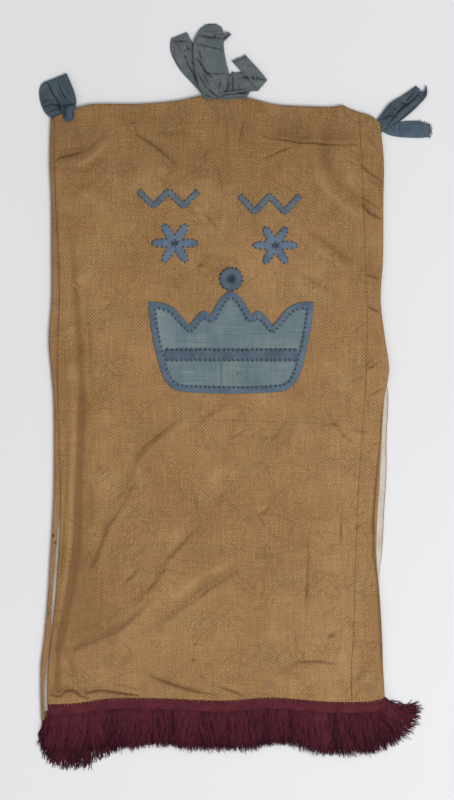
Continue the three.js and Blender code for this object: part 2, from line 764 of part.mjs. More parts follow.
// The origin is at the middle of the whole, on the surface.
const reach = new THREE.Box3().setFromObject(mantle);
const middle = reach.getCenter(new THREE.Vector3());
mantle.position.set(-middle.x, -middle.y, -reach.min.z);

export default mantle;
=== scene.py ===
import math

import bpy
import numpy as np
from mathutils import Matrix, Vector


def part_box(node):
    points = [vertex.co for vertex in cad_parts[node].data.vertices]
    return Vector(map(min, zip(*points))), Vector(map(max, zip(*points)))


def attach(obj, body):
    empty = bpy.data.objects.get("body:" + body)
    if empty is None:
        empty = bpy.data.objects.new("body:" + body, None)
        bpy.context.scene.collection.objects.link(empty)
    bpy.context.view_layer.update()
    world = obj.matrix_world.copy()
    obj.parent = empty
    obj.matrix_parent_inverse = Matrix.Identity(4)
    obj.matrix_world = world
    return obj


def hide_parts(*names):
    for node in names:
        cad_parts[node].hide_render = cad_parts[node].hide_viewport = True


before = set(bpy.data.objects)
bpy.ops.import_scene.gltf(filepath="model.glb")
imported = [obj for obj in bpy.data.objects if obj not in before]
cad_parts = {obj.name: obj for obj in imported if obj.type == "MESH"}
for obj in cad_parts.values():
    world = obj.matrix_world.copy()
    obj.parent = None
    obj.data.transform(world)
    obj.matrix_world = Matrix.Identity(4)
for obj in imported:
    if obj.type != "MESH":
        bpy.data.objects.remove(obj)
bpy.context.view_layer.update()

# The looks of a cloth cover for a scroll, which lies flat on its back.
# Sizes are in millimetres until a mesh is made. X runs across the cloth, Y towards its tied top
# edge, Z up from the floor. Places are measured from the middle of the front's hem, as in the part.

MM = 0.001
BAND_CENTRE = (18.5, 455.5)
band_low, band_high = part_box("crown_band")
band_middle = (band_low + band_high) / 2 / MM
SHIFT = np.array([BAND_CENTRE[0] - band_middle.x, BAND_CENTRE[1] - band_middle.y, 0.0])


def columns(names, *rows):
    """A table as one array for each named column."""
    return dict(zip(names.split(), np.array(rows, float).T))


# The part's own levels and sizes
BACK_MIDDLE = 0.55
BACK_THICKNESS = 1.1
BACK_BELOW_TOP = 2.0
LINING_UNDERSIDE = 1.4
LINING_TOP = 2.35
FRONT_UNDERSIDE = 3.9
FRONT_THICKNESS = 1.4
LOWEST_TROUGH = -1.3
ROLL_RADIUS = 2.05
NARROWEST_BORDER = 3.6
SEAM_GAP = 0.1
HEADING_GAP = 0.8
HEADING_DEPTH = 14.0
BACK_HEADING_DEPTH = 12.0
LINING_ABOVE_BACK_HEM = 11.5
LINING_BELOW_TOP = 32.0

SIDES = columns(
    "y border inner front seam right",
    (-26, -231.5, -228.5, -223.0, 178.0, 222.0),
    (10, -232.5, -229.0, -223.5, 177.5, 221.0),
    (46, -232.4, -224.5, -222.0, 177.0, 219.0),
    (79, -228.4, -219.8, -218.6, 179.5, 218.0),
    (132, -223.6, -218.0, -213.0, 181.0, 215.0),
    (185, -220.3, -213.8, -209.0, 182.5, 210.5),
    (240, -217.0, -208.4, -206.3, 184.5, 211.2),
    (290, -215.2, -207.0, -206.5, 187.0, 214.5),
    (396, -215.6, -210.5, -210.0, 194.5, 220.5),
    (436, -219.0, -211.0, -210.5, 196.5, 227.0),
    (475, -222.0, -210.5, -210.0, 197.5, 222.0),
    (528, -218.6, -208.5, -208.0, 197.5, 216.0),
    (581, -218.4, -209.5, -209.0, 195.5, 219.0),
    (660, -219.0, -213.5, -213.0, 193.0, 219.5),
    (713, -221.0, -215.5, -215.0, 190.5, 220.0),
    (768, -219.5, -215.5, -215.0, 187.5, 214.5),
)
TOP_EDGE = columns(
    "x y",
    (-219, 768), (-187, 780), (-165, 786), (-102, 786.5), (-50, 791), (-16, 797.5), (37, 795),
    (80, 785.5), (123, 783), (152, 782.5), (167, 784.5), (173, 781), (188, 775.5), (204, 770.5), (216, 761),
)
HEM = columns(
    "x y",
    (-223, -5.5), (-187, -4), (-141, 2.5), (-75, 2.5), (10, -0.5), (70, 3.5),
    (149, -2), (202, -1.5), (222, 3.5),
)
BACK_HEM = columns("x y", (-232, -26), (-165, -26), (-140, -14), (-110, -7), (222, -5))
RIGHT_LAYERS = columns(
    "y lining back",
    (-26, -4.0, -2.0),
    (120, -2.0, -1.0),
    (160, 1.5, 1.8),
    (200, 7.0, 7.8),
    (240, 8.0, 8.8),
    (303, 7.5, 8.3),
    (345, 5.4, 6.4),
    (400, 4.6, 5.2),
    (425, -3.0, -2.0),
    (768, -4.0, -2.0),
)

# The main folds: half widths to the left and right of the line, height, and the line's points.
FOLDS = (
    ("left furrow", 9, 9, -1.1, ((-185, 525), (-176, 396), (-182, 251), (-212, 53))),
    ("left ridge", 8, 6, 2.8, ((-197, 489), (-191, 340), (-192, 230), (-204, 140), (-214, 40))),
    ("left lip", 12, 12, 2.0, ((-158, 470), (-152, 396), (-160, 251), (-187, 80))),
    ("upper slant", 12, 7, 2.2, ((-112, 751), (-82, 731), (-36, 693))),
    ("corner tuck", 9, 6, 2.4, ((-205, 713), (-182, 722), (-161, 738), (-149, 765))),
    ("corner slant", 9, 7, 2.2, ((-181, 675), (-158, 690), (-128, 720))),
    ("top tuck", 9, 1.7, 2.8, ((53, 747), (72, 742), (94, 740), (126, 737.5), (165, 735), (188, 736))),
    ("right shoulder", 12, 14, 2.4, ((130, 775), (128, 735), (130, 705), (143, 680), (170, 654), (188, 642))),
    ("right drag", 12, 12, 2.0, ((126, 600), (177, 573), (190, 570))),
    ("middle drag", 10, 10, 2.0, ((-49, 369), (-84, 340), (-115, 302), (-135, 262), (-162, 196))),
    ("middle band", 14, 14, 1.2, ((24, 373), (149, 363), (188, 353))),
    ("lower drag", 11, 11, 2.2, ((-190, 72), (-148, 92), (-112, 120), (-75, 145))),
    ("lower slant", 11, 11, 2.0, ((-132, 91), (-60, 115), (30, 169))),
    ("low slope", 8, 8, 1.6, ((-208, 66), (-200, 45), (-192, 24))),
    ("hem drag", 10, 6, 2.0, ((-88, 38), (-57, 30), (-18, 20))),
    ("hem sweep", 12, 12, 1.8, ((-34, 42), (35, 32), (62, 24))),
    ("hem rise", 12, 12, 1.8, ((51, 42), (90, 50), (156, 51))),
)

# The fine creases, by the same columns.
CREASES = (
    ("tuck line", 0.8, 1.3, -2.0, (
        (57, 745), (72, 740.5), (94, 738.2), (110, 735), (126, 735.2), (139, 733.6), (148, 732.5),
        (165, 732.5), (188, 733.8),
    )),
    ("tuck branch", 1.7, 1.5, -1.6, ((98, 730), (80, 723), (60, 713))),
    ("middle pleat", 3, 3, -0.8, ((13, 754), (13, 733))),
    ("middle pleat, right", 2.4, 2.4, -1.2, ((36, 766), (32, 750), (29, 736))),
    ("middle line", 2.2, 2.6, -1.1, ((1, 704), (3, 690), (8, 670))),
    ("slant line, lower", 1.8, 2.4, -1.1, ((-20, 644), (-6, 631), (5, 618))),
    ("corner line", 1.5, 1.8, -1.8, ((-215, 711), (-206, 716.5), (-192, 719.5), (-176, 724))),
    ("corner line, lower", 1.8, 1.8, -1.0, ((-208, 699), (-198, 704), (-188, 705))),
    ("slant line", 1.6, 2.2, -1.6, ((-110, 749), (-96, 740), (-81, 730), (-66, 717), (-52, 705))),
    ("strip wrinkle 1", 3.0, 3, -0.9, ((198, 745), (209, 728))),
    ("strip wrinkle 2", 1.7, 2.6, -1.5, ((190, 707), (201, 696), (216, 686))),
    ("strip wrinkle 3", 1.7, 2.6, -1.3, ((190, 665), (204, 656), (214, 648))),
    ("strip wrinkle 4", 1.7, 2.2, -1.0, ((197, 688), (208, 683), (216, 672))),
    ("strip wrinkle 5", 2.0, 3.0, -1.7, ((192, 653), (201, 643), (217, 635))),
    ("strip wrinkle 6", 2.0, 2.4, -1.6, ((196, 562), (213, 556))),
    ("strip wrinkle 7", 2.0, 2.4, -1.8, ((199, 520), (213, 512))),
    ("strip wrinkle 8", 2.2, 2.2, -1.1, ((199, 437), (214, 447))),
    ("strip wrinkle 9", 2.2, 2.2, -1.1, ((199, 401), (219, 412))),
    ("strip wrinkle 10", 2.2, 2.2, -1.0, ((203, 338), (213, 340))),
    ("strip fold", 1.8, 2.2, -1.2, (
        (218, 392), (215, 343), (209.5, 290), (206, 237), (206.5, 189), (213, 156),
    )),
    ("strip line", 2.4, 2.4, -0.8, ((187, 37), (200, 39), (218, 38))),
    ("seam pull 1", 3, 3, -0.8, ((178, 357), (199, 353))),
    ("seam pull 2", 3, 3, -0.7, ((170, 397), (174, 366))),
    ("seam pull 3", 3, 3, -0.8, ((172, 418), (184, 424), (191, 426))),
    ("left line", 4, 4, -0.7, ((-174, 560), (-168, 470), (-166, 396))),
    ("edge line", 1.8, 1.8, -0.6, ((-203, 280), (-203, 200), (-207, 150))),
    ("drag line 1", 2.6, 3.4, -0.85, ((-49, 372), (-84, 344), (-103, 328))),
    ("drag line 2", 2.6, 3.4, -0.9, ((-108, 288), (-129, 248), (-144, 229), (-154, 200), (-166, 172))),
    ("drag line 3", 2.6, 3.0, -0.9, ((-76, 330), (-65, 302))),
    ("drag line 4", 3.0, 3.0, -0.7, ((-85, 258), (-63, 243))),
    ("drag line 5", 2.6, 3.2, -0.9, ((-27, 227), (-45, 207), (-63, 186))),
    ("drag line 6", 3.0, 3.0, -0.7, ((42, 309), (69, 319))),
    ("drag line 7", 3.0, 3.0, -0.7, ((47, 361), (7, 341))),
    ("upright line 1", 1.9, 2.1, -1.4, ((163, 251), (163, 207))),
    ("upright line 2", 1.8, 2.0, -1.3, ((119, 214), (120, 190), (119, 160), (118, 138), (116.5, 112))),
    ("level line", 2.4, 2.6, -0.8, ((109, 367), (140, 364), (176, 363))),
    ("level line, left", 1.7, 2.0, -0.8, ((-8, 370), (40, 369), (100, 366.6))),
    ("seam slant", 2.2, 3.0, -1.0, ((137, 393), (150, 372), (166, 350), (182, 337))),
    ("speck line", 1.4, 1.4, -0.8, ((-30, 74), (-31, 62), (-30, 52))),
    ("speck", 1.4, 1.4, -1.7, ((-34, 50), (-30, 53.5), (-26, 50.5))),
    ("cross line 1", 2.6, 3.4, -0.9, ((30, 172), (-18, 140), (-46, 119))),
    ("cross line 2", 2.4, 3.2, -0.85, (
        (-104, 115), (-121, 100), (-133, 88), (-148, 84), (-169, 73), (-192, 66),
    )),
    ("cross line 3", 2.4, 2.8, -0.95, ((-101, 174), (-121, 155))),
    ("cross line 4", 2.6, 3.2, -0.9, ((-67, 174), (-86, 150), (-105, 131))),
    ("hem curl 1", 1.6, 2.1, -2.6, (
        (-222, 9), (-213, 5.5), (-206, 5.5), (-200, 12.5), (-190, 13.5), (-180, 5.5), (-169, 2.5),
    )),
    ("hem curl 2", 1.6, 2.2, -2.5, (
        (-176, 8.5), (-165, 12), (-154, 13.7), (-133, 10.6), (-118, 8), (-103, 6.3),
    )),
    ("hem curl 3", 1.8, 2.6, -0.9, ((-140, 22), (-127, 20), (-110, 16), (-95, 9))),
    ("hem curl 4", 1.8, 2.4, -1.5, ((-91, 34), (-74, 26), (-57, 20), (-30, 12), (-3, 7))),
    ("hem curl 5", 1.8, 2.4, -1.8, ((3, 18), (34, 7))),
    ("hem curl 6", 1.8, 2.4, -1.8, ((100, 51), (120, 51.5), (137, 51.5), (155, 48))),
    ("hem curl 7", 2.2, 2.2, -0.8, ((118, 6), (133, 6))),
)

# Broad soft shade and light painted into the cloth's colour: by the same columns, with 1 for the darkest
# painted shade and less than 0 for a band of painted highlight.
SHADES = (
    ("left furrow, upper", 5, 6, 0.95, ((-192, 640), (-188, 560), (-181, 470), (-178, 400), (-180, 330))),
    ("left furrow", 6, 5, 1.9, (
        (-178, 400), (-181, 343), (-183, 294), (-184, 262), (-185, 220), (-187, 190), (-192, 160),
        (-197, 132), (-203, 100), (-209, 68), (-210, 40), (-212, 14),
    )),
    ("left ridge", 3.5, 3, -1.0, (
        (-190, 350), (-193, 290), (-194, 230), (-196, 195), (-201, 160), (-206, 130), (-211, 100),
    )),
    ("edge furrow", 2, 2, 0.7, ((-200, 290), (-202, 220), (-206, 170))),
    ("left slope", 16, 30, 0.35, ((-178, 560), (-170, 396), (-168, 251), (-185, 60))),
    ("low left", 50, 44, 0.75, ((-176, 190), (-160, 110), (-150, 30))),
    ("low ridge", 3.5, 5, -0.6, ((-206, 62), (-201, 45), (-197, 28))),
    ("low slope", 4, 6, 0.5, ((-198, 66), (-190, 45), (-184, 24))),
    ("corner", 26, 18, 0.4, ((-212, 700), (-182, 740), (-150, 775))),
    ("corner fold", 4, 6, 1.35, ((-202, 714), (-182, 720), (-166, 729), (-153, 741), (-146, 756))),
    ("corner ridge", 5, 4, -0.7, ((-190, 702), (-172, 711), (-157, 722), (-145, 740))),
    ("corner fold, lower", 4, 5, 0.9, ((-200, 697), (-174, 698), (-150, 713), (-136, 726))),
    ("corner slant", 4, 6, 1.0, ((-192, 668), (-172, 678), (-158, 687), (-136, 712))),
    ("upper slant", 9, 5, 0.85, ((-112, 748), (-82, 731), (-50, 706))),
    ("upper slant ridge", 6, 6, -0.5, ((-98, 750), (-72, 736), (-42, 712))),
    ("upper bend", 4, 5, 0.7, ((-84, 744), (-66, 747), (-47, 749), (-28, 742), (-11, 724))),
    ("upper hollow", 14, 14, 0.4, ((-46, 712), (-26, 702), (-10, 690))),
    ("middle pleat", 3, 5, 0.6, ((14, 760), (13, 735), (14, 712))),
    ("tuck", 1, 3, 0.4, ((56, 745), (72, 740), (94, 738), (126, 735), (165, 732), (190, 733))),
    ("right shoulder", 11, 6, 1.0, (
        (144, 772), (142, 745), (141, 722), (147, 700), (160, 681), (180, 662), (196, 648),
    )),
    ("right shoulder ridge", 5, 8, -0.6, (
        (128, 742), (127, 716), (134, 691), (149, 669), (170, 650), (186, 639),
    )),
    ("above tuck", 20, 3, 0.75, ((66, 746), (110, 740), (184, 737))),
    ("below tuck", 3, 16, 0.35, ((60, 734), (110, 728), (180, 724))),
    ("right drag", 5, 7, 0.9, ((114, 622), (136, 610), (160, 592), (184, 573))),
    ("right drag ridge", 5, 5, -0.5, ((124, 600), (152, 582), (176, 565))),
    ("right drag, lower", 4, 7, 0.75, ((94, 571), (124, 556), (150, 540), (169, 526))),
    ("strip, upper", 12, 14, 0.4, ((205, 760), (206, 640), (204, 520), (208, 430))),
    ("strip pull 1", 3, 5, 0.35, ((190, 706), (201, 695), (216, 684))),
    ("strip pull 2", 3, 5, 0.35, ((190, 664), (201, 645), (217, 634))),
    ("middle drag", 4, 7, 1.05, ((-46, 370), (-84, 340), (-103, 320), (-112, 296), (-136, 256))),
    ("middle drag, lower", 3.5, 6, 0.9, ((-108, 290), (-129, 250), (-144, 229), (-154, 200), (-166, 172))),
    ("upper drag", 4, 6, 0.9, ((26, 398), (-6, 378), (-40, 352))),
    ("lower drag", 4, 7, 0.95, ((-75, 140), (-104, 115), (-121, 100), (-148, 84), (-192, 66))),
    ("lower slant", 5, 7, 0.9, ((34, 174), (-18, 150), (-50, 118), (-96, 88))),
    ("lower slant ridge", 6, 5, -0.5, ((26, 184), (-22, 162), (-58, 132))),
    ("cross slant", 4, 6, 0.7, ((-27, 228), (-63, 186), (-105, 131))),
    ("hem, left", 6, 6, 0.8, ((-218, 14), (-190, 12), (-160, 10), (-110, 6))),
    ("hem, middle", 5, 6, 0.85, ((-95, 34), (-57, 20), (0, 7), (44, 4))),
    ("hem, right", 6, 6, 0.65, ((56, 22), (110, 50), (160, 47))),
    ("middle band", 12, 14, 0.4, ((24, 371), (149, 361), (188, 351))),
    ("strip edge", 2.2, 2.2, 0.7, (
        (217, 388), (214, 343), (209, 290), (205, 237), (206, 189), (212, 156), (215, 124), (216, 91),
        (218, 58),
    )),
    ("right edge", 2.4, 2.4, 1.2, ((209, 185), (213, 140), (215, 100), (216.5, 60), (218.5, 20))),
    ("strip, lower", 16, 16, 0.4, ((200, 8), (199, 90), (200, 180), (205, 300))),
)

# The fringes: where each strand starts, the way that it leaves and ends in degrees, and its length.
FRONT_FAN = columns(
    "place start end length",
    (-223, -96, -90, 48),
    (-205, -97, -95, 51),
    (-160, -93, -94, 52),
    (-120, -91, -92, 56),
    (-78, -92, -90, 50),
    (-25, -89, -91, 55),
    (17, -91, -90, 53),
    (38, -89, -90, 56),
    (59, -89, -90, 49),
    (102, -90, -88, 51),
    (133, -89, -87, 58),
    (176, -80, -78, 58),
    (200, -73, -62, 57),
    (213, -64, -46, 53),
    (221, -62, -28, 51),
    (225, -68, -16, 51),
    (229, -74, -6, 53),
    (232, -80, 0, 54),
)
BACK_FAN = columns(
    "place start end length",
    (-231, -91, -89, 24),
    (-226, -93, -90, 36),
    (-216, -94, -92, 45),
    (-205, -94, -93, 51),
    (-190, -92, -93, 53),
    (-168, -92, -90, 51),
    (-152, -90, -88, 44),
    (-120, -90, -90, 42),
    (206, -88, -86, 42),
)
HEADING_RIGHT = 222.0
BACK_HEADING_ENDS = (-231.0, 206.0)


def read(table, column, at, key="y"):
    """One column of a table at places between its rows, as a smooth curve."""
    keys, values = table[key], table[column]
    slopes = np.empty_like(values)
    slopes[1:-1] = (values[2:] - values[:-2]) / (keys[2:] - keys[:-2])
    slopes[0] = (values[1] - values[0]) / (keys[1] - keys[0])
    slopes[-1] = (values[-1] - values[-2]) / (keys[-1] - keys[-2])
    place = np.clip(at, keys[0], keys[-1])
    i = np.clip(np.searchsorted(keys, place, side="right") - 1, 0, len(keys) - 2)
    span = keys[i + 1] - keys[i]
    t = (place - keys[i]) / span
    return (
        values[i] * (1 + 2 * t) * (1 - t) ** 2
        + values[i + 1] * t * t * (3 - 2 * t)
        + slopes[i] * span * t * (1 - t) ** 2
        + slopes[i + 1] * span * t * t * (t - 1)
    )


def side(column, y):
    return read(SIDES, column, y)


def top_of(x):
    return read(TOP_EDGE, "y", x, "x")


def hem_of(x):
    return read(HEM, "y", x, "x")


def back_hem_of(x):
    return read(BACK_HEM, "y", x, "x")


def ramp(value, low, high):
    """From 0 at low to 1 at high, smooth at both ends."""
    t = np.clip((value - low) / (high - low), 0, 1)
    return t * t * (3 - 2 * t)


def mix(a, b, share):
    return a + (b - a) * share


def bell(distance, width):
    """1 at a distance of nought, and less the further away, on both sides."""
    return np.exp(-((distance / width) ** 2))


def unit(vectors):
    """The same ways with a length of 1."""
    return vectors / np.maximum(np.linalg.norm(vectors, axis=-1, keepdims=True), 1e-9)


def points_at(x, y, z=0.0):
    """Grids of lengths, or single lengths, as one grid of points."""
    return np.stack(np.broadcast_arrays(x, y, z), -1)


def even_turns(count):
    """Turns round a full circle, in radians."""
    return np.linspace(0, 2 * np.pi, count, endpoint=False)


def rumple(x, y, size, seed):
    """A smooth uneven field between about -1 and 1, with bumps of one size."""
    cells = 64
    leans = np.random.default_rng(seed).uniform(0, 2 * np.pi, (cells, cells))
    turn = 0.7 * seed
    across = (x * math.cos(turn) - y * math.sin(turn)) / size + cells / 2
    along = (x * math.sin(turn) + y * math.cos(turn)) / size + cells / 2
    i, j = np.floor(across).astype(int), np.floor(along).astype(int)
    s, t = across - i, along - j

    def corner(di, dj):
        lean = leans[(i + di) % cells, (j + dj) % cells]
        return np.cos(lean) * (s - di) + np.sin(lean) * (t - dj)

    lower = mix(corner(0, 0), corner(1, 0), ramp(s, 0, 1))
    upper = mix(corner(0, 1), corner(1, 1), ramp(s, 0, 1))
    return 1.6 * mix(lower, upper, ramp(t, 0, 1))


def uneven(x, y, *layers):
    """Rumples on top of each other, each given by its height, size and seed."""
    return sum(height * rumple(x, y, size, seed) for height, size, seed in layers)


def nearest(path, x, y):
    """How far each place is from a line, above nought on its left, and how far along it is, 0 to 1."""
    beside = np.full(x.shape, np.inf)
    along = np.zeros(x.shape)
    pieces = len(path) - 1
    for i in range(pieces):
        (ax, ay), (bx, by) = path[i], path[i + 1]
        dx, dy = bx - ax, by - ay
        t = np.clip(((x - ax) * dx + (y - ay) * dy) / (dx * dx + dy * dy), 0, 1)
        px, py = x - ax - dx * t, y - ay - dy * t
        away = np.hypot(px, py)
        closer = away < np.abs(beside)
        beside = np.where(closer, np.where(dx * py - dy * px < 0, -away, away), beside)
        along = np.where(closer, (i + t) / pieces, along)
    return beside, along


def folded(table, x, y, narrowed=1.0, lip=0.0):
    """The height that a table's folds add. Each tapers towards its ends, and may have a lip beside it."""
    height = np.zeros(x.shape)
    for _, left, right, rise, path in table:
        left, right = left * narrowed, right * narrowed
        reach = 3 * max(left, right) + 3 * lip * left
        low_x, low_y = np.min(path, 0) - reach
        high_x, high_y = np.max(path, 0) + reach
        near = (x > low_x) & (x < high_x) & (y > low_y) & (y < high_y)
        beside, along = nearest(path, x[near], y[near])
        width = np.where(beside > 0, left, right)
        taper = np.sqrt(np.maximum(np.sin(np.pi * mix(0.06, 0.94, along)), 0))
        profile = bell(beside, width) - lip * bell(beside - 2.2 * left, 1.5 * left)
        height[near] += rise * taper * profile
    return height


def scattered_wrinkles(count):
    """Short fine creases strewn over the cloth, most of them on the slant."""
    chance = np.random.default_rng(23)
    table = []
    for _ in range(count):
        x, y = chance.uniform(-200, 205), chance.uniform(14, 775)
        slanting = chance.random() < 0.65
        lean = math.radians(chance.normal(42, 24) if slanting else chance.uniform(0, 180))
        reach = chance.uniform(7, 30)
        bend = chance.normal(0, 0.25)
        path = tuple(
            (x + s * reach * math.cos(lean + s * bend), y + s * reach * math.sin(lean + s * bend))
            for s in (-1, 0, 1)
        )
        width = chance.uniform(1.8, 2.8)
        table.append(("wrinkle", width, 1.4 * width, -chance.uniform(0.25, 0.8), path))
    return table


WRINKLES = scattered_wrinkles(190)

# The front's unevenness, by height, size and seed
SWELLS = ((0.9, 74, 17),)
CRUMPLES = ((0.42, 21, 11), (0.2, 10, 12), (0.55, 43, 13))
BLOTCHES = ((0.22, 60, 18), (0.16, 26, 19))
# How far from the hem, the top, the left and the right edge the folds and the creases are whole
FOLDS_START = (26, 22, 14, 12)
CREASES_START = (4, 4, 3, 3)
# Where the crown is sewn on and keeps the cloth smooth
CROWN_AREA = {"x": 18.5, "y": 468, "across": 112, "up": 74}
# Small gathers at the hem and by the seam: how high, how close, and how far from the line
HEM_GATHERS = {"rise": 0.28, "pitch": 2.1, "reach": 9}
SEAM_GATHERS = {"rise": 0.2, "pitch": 3.4, "reach": 7}
# The dip along the seam: its depth, its reach, and the reach of the shade painted along it. Then the side
# edges' roll.
SEAM_DIP = {"depth": 0.4, "reach": 1.4, "hollow_darkening": 1.2}
EDGE_ROLL = {"depth": 0.7, "reach": 1.6}


def inside_by(gaps, reaches):
    """From 0 at any of the edges to 1 where each is further away than its own reach."""
    return np.prod([ramp(gap, 0, reach) for gap, reach in zip(gaps, reaches)], axis=0)


def gathered(run, away, stray, rise, pitch, reach):
    """Even puckers along a line, which stray a little and die away beside it."""
    return rise * np.sin(run / pitch + stray) * bell(away, reach)


def front_relief(x, y):
    """How high the front's cloth stands above its flat level, how much shade is painted into its creases and
    hollows, and its painted broad shade and highlights with random blotches.
    """
    gaps = (y - hem_of(x), top_of(x) - y, x - side("front", y), side("right", y) - x)
    from_hem, _, from_left, from_right = gaps
    from_seam = x - side("seam", y)
    swell = 0.9 * np.sin(x / 62 + 0.6) * np.sin(y / 88 + 0.3) + folded(FOLDS, x, y)
    swell += uneven(x, y, *SWELLS)
    beside_crown = (x - CROWN_AREA["x"]) / CROWN_AREA["across"]
    above_crown = (y - CROWN_AREA["y"]) / CROWN_AREA["up"]
    free = mix(0.4, 1.0, ramp(np.hypot(beside_crown, above_crown), 0.9, 1.2))
    creased = folded(CREASES, x, y, 0.74, 0.4) + 0.75 * folded(WRINKLES, x, y, 1.0, 0.4) * free
    edges = inside_by(gaps, CREASES_START)
    hem_gathers = gathered(x, from_hem, 2 * rumple(x, y, 20, 14), **HEM_GATHERS)
    seam_gathers = gathered(y, from_seam, 3 * rumple(x, y, 30, 15), **SEAM_GATHERS)
    seam = bell(from_seam, SEAM_DIP["reach"])
    left_roll, right_roll = bell(from_left, EDGE_ROLL["reach"]), bell(from_right, EDGE_ROLL["reach"])
    height = swell * inside_by(gaps, FOLDS_START) + (creased + uneven(x, y, *CRUMPLES) * free) * edges
    height += hem_gathers + seam_gathers - SEAM_DIP["depth"] * seam
    height -= EDGE_ROLL["depth"] * (left_roll + right_roll)
    # Painted shade: darker in the creases' troughs, in the seam's dip and gathers, and along the rolled right
    # edge.
    hollow_darkening = np.maximum(-creased, 0) * edges + 0.15 * bell(from_seam, SEAM_DIP["hollow_darkening"])
    hollow_darkening += 1.25 * np.maximum(-seam_gathers, 0) + 0.8 * right_roll
    shade = folded(SHADES, x, y) + uneven(x, y, *BLOTCHES)
    return np.maximum(height, LOWEST_TROUGH), hollow_darkening, shade


def front_top(x, y):
    return FRONT_UNDERSIDE + FRONT_THICKNESS + front_relief(x, y)[0]


# Meshes


def volume_of(points, faces):
    """The signed volume of a closed mesh, which is below nought where its faces point inwards."""
    total = 0.0
    for size in sorted({len(face) for face in faces}):
        corners = points[np.array([face for face in faces if len(face) == size])]
        for k in range(1, size - 1):
            crossed = np.cross(corners[:, k], corners[:, k + 1])
            total += np.einsum("ij,ij->", corners[:, 0], crossed)
    return total


def make_piece(name, points, faces, material, slot, replaces=(), **fields):
    """A shaded piece that rides on the part. Each field is an attribute that its material reads."""
    if volume_of(points - points.mean(0), faces) < 0:
        faces = [face[::-1] for face in faces]
    mesh = bpy.data.meshes.new(name)
    mesh.from_pydata(((points - SHIFT) * MM).tolist(), [], faces)
    mesh.polygons.foreach_set("use_smooth", [True] * len(mesh.polygons))
    for field, values in fields.items():
        if values.ndim == 2:
            mesh.attributes.new(field, "FLOAT_VECTOR", "POINT").data.foreach_set("vector", values.ravel())
        else:
            mesh.attributes.new(field, "FLOAT", "POINT").data.foreach_set("value", values)
    mesh.materials.append(material)
    mesh.update()
    piece = bpy.data.objects.new(name, mesh)
    bpy.context.scene.collection.objects.link(piece)
    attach(piece, "root")
    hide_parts(*replaces)
    return piece


def grid_places(across, along):
    """Shares across and along for a grid of cells, each from 0 to 1."""
    return np.meshgrid(np.linspace(0, 1, across + 1), np.linspace(0, 1, along + 1))


def on_panel(u, v, left, right, bottom, top):
    """Places on a panel between two side edges and between its hem and its top."""
    x = np.zeros_like(u)
    for _ in range(4):
        y = mix(bottom(x), top(x), v)
        x = mix(left(y), right(y), u)
    return x, y


def numbered(*shape):
    """A grid of the points' numbers."""
    return np.arange(math.prod(shape)).reshape(shape)


def four_sided(*corners):
    """Faces from the grids of their four corners' numbers."""
    return np.stack(corners, -1).reshape(-1, 4).tolist()


def closed_sheet(upper, lower):
    """Joins two grids of points as a sheet. The lower one uses only every second row and column."""
    lower = lower[::2, ::2]
    top = numbered(*upper.shape[:2])
    base = numbered(*lower.shape[:2]) + top.size
    top_faces, base_faces = (
        four_sided(grid[:-1, :-1], grid[:-1, 1:], grid[1:, 1:], grid[1:, :-1]) for grid in (top, base)
    )
    faces = top_faces + [face[::-1] for face in base_faces]
    rims = (
        (top[0], base[0]),
        (top[:, -1], base[:, -1]),
        (top[-1, ::-1], base[-1, ::-1]),
        (top[::-1, 0], base[::-1, 0]),
    )
    for edge, under in rims:
        faces += np.stack([under[:-1], under[1:], edge[2::2], edge[1::2], edge[:-1:2]], -1).tolist()
    return np.concatenate([upper.reshape(-1, 3), lower.reshape(-1, 3)]), faces


def both_faces(field):
    """An attribute of a sheet's upper grid, carried to its lower points too."""
    flat = (-1, 3) if field.ndim == 3 else (-1,)
    return np.concatenate([field.reshape(flat), field[::2, ::2].reshape(flat)])


def normals_of(grid):
    """The way that each point of a grid faces."""
    return unit(np.cross(np.gradient(grid, axis=1), np.gradient(grid, axis=0)))


def sheet_around(grid, thickness):
    normals = normals_of(grid)
    return closed_sheet(grid + normals * thickness / 2, grid - normals * thickness / 2)


def cloth_lengths(grid):
    """How far each point of a grid is across and along the cloth itself, in millimetres."""
    steps_across = np.linalg.norm(np.diff(grid, axis=1), axis=-1)
    steps_along = np.linalg.norm(np.diff(grid, axis=0), axis=-1)
    across = np.pad(np.cumsum(steps_across, axis=1), ((0, 0), (1, 0)))
    along = np.pad(np.cumsum(steps_along.mean(1)), (1, 0))
    return across, np.broadcast_to(along[:, None], across.shape)


def ringed(rings):
    """A closed body from rings of points, with a middle point at each end."""
    index = numbered(*rings.shape[:2])
    turned = np.roll(index, -1, axis=1)
    first, last = index.size, index.size + 1
    faces = four_sided(index[:-1], index[1:], turned[1:], turned[:-1])
    faces += [[first, int(a), int(b)] for a, b in zip(index[0], turned[0])]
    faces += [[last, int(b), int(a)] for a, b in zip(index[-1], turned[-1])]
    points = np.concatenate([rings.reshape(-1, 3), rings[:1].mean(1), rings[-1:].mean(1)])
    return points, faces


def looped(sections):
    """A closed band: loops of points, joined each to the next and the last to the first."""
    index = numbered(*sections.shape[:2])
    onward = np.roll(index, -1, axis=0)
    faces = four_sided(index, onward, np.roll(onward, -1, axis=1), np.roll(index, -1, axis=1))
    return sections.reshape(-1, 3), faces


def threads(lines, widths, section):
    """Many threads in one mesh. lines holds each one's points, and section its corners, aside and up."""
    ways = unit(np.gradient(lines, axis=1))
    aside = unit(points_at(-ways[..., 1], ways[..., 0]))
    up = np.cross(ways, aside)
    corners = np.array(section, float)
    offsets = corners[:, 0, None] * aside[:, :, None, :] + corners[:, 1, None] * up[:, :, None, :]
    points = lines[:, :, None, :] + offsets * widths[:, :, None, None]
    index = numbered(*points.shape[:3])
    turned = np.roll(index, -1, axis=2)
    faces = four_sided(index[:, :-1], turned[:, :-1], turned[:, 1:], index[:, 1:])
    faces += index[:, 0, ::-1].tolist() + index[:, -1].tolist()
    return points.reshape(-1, 3), faces


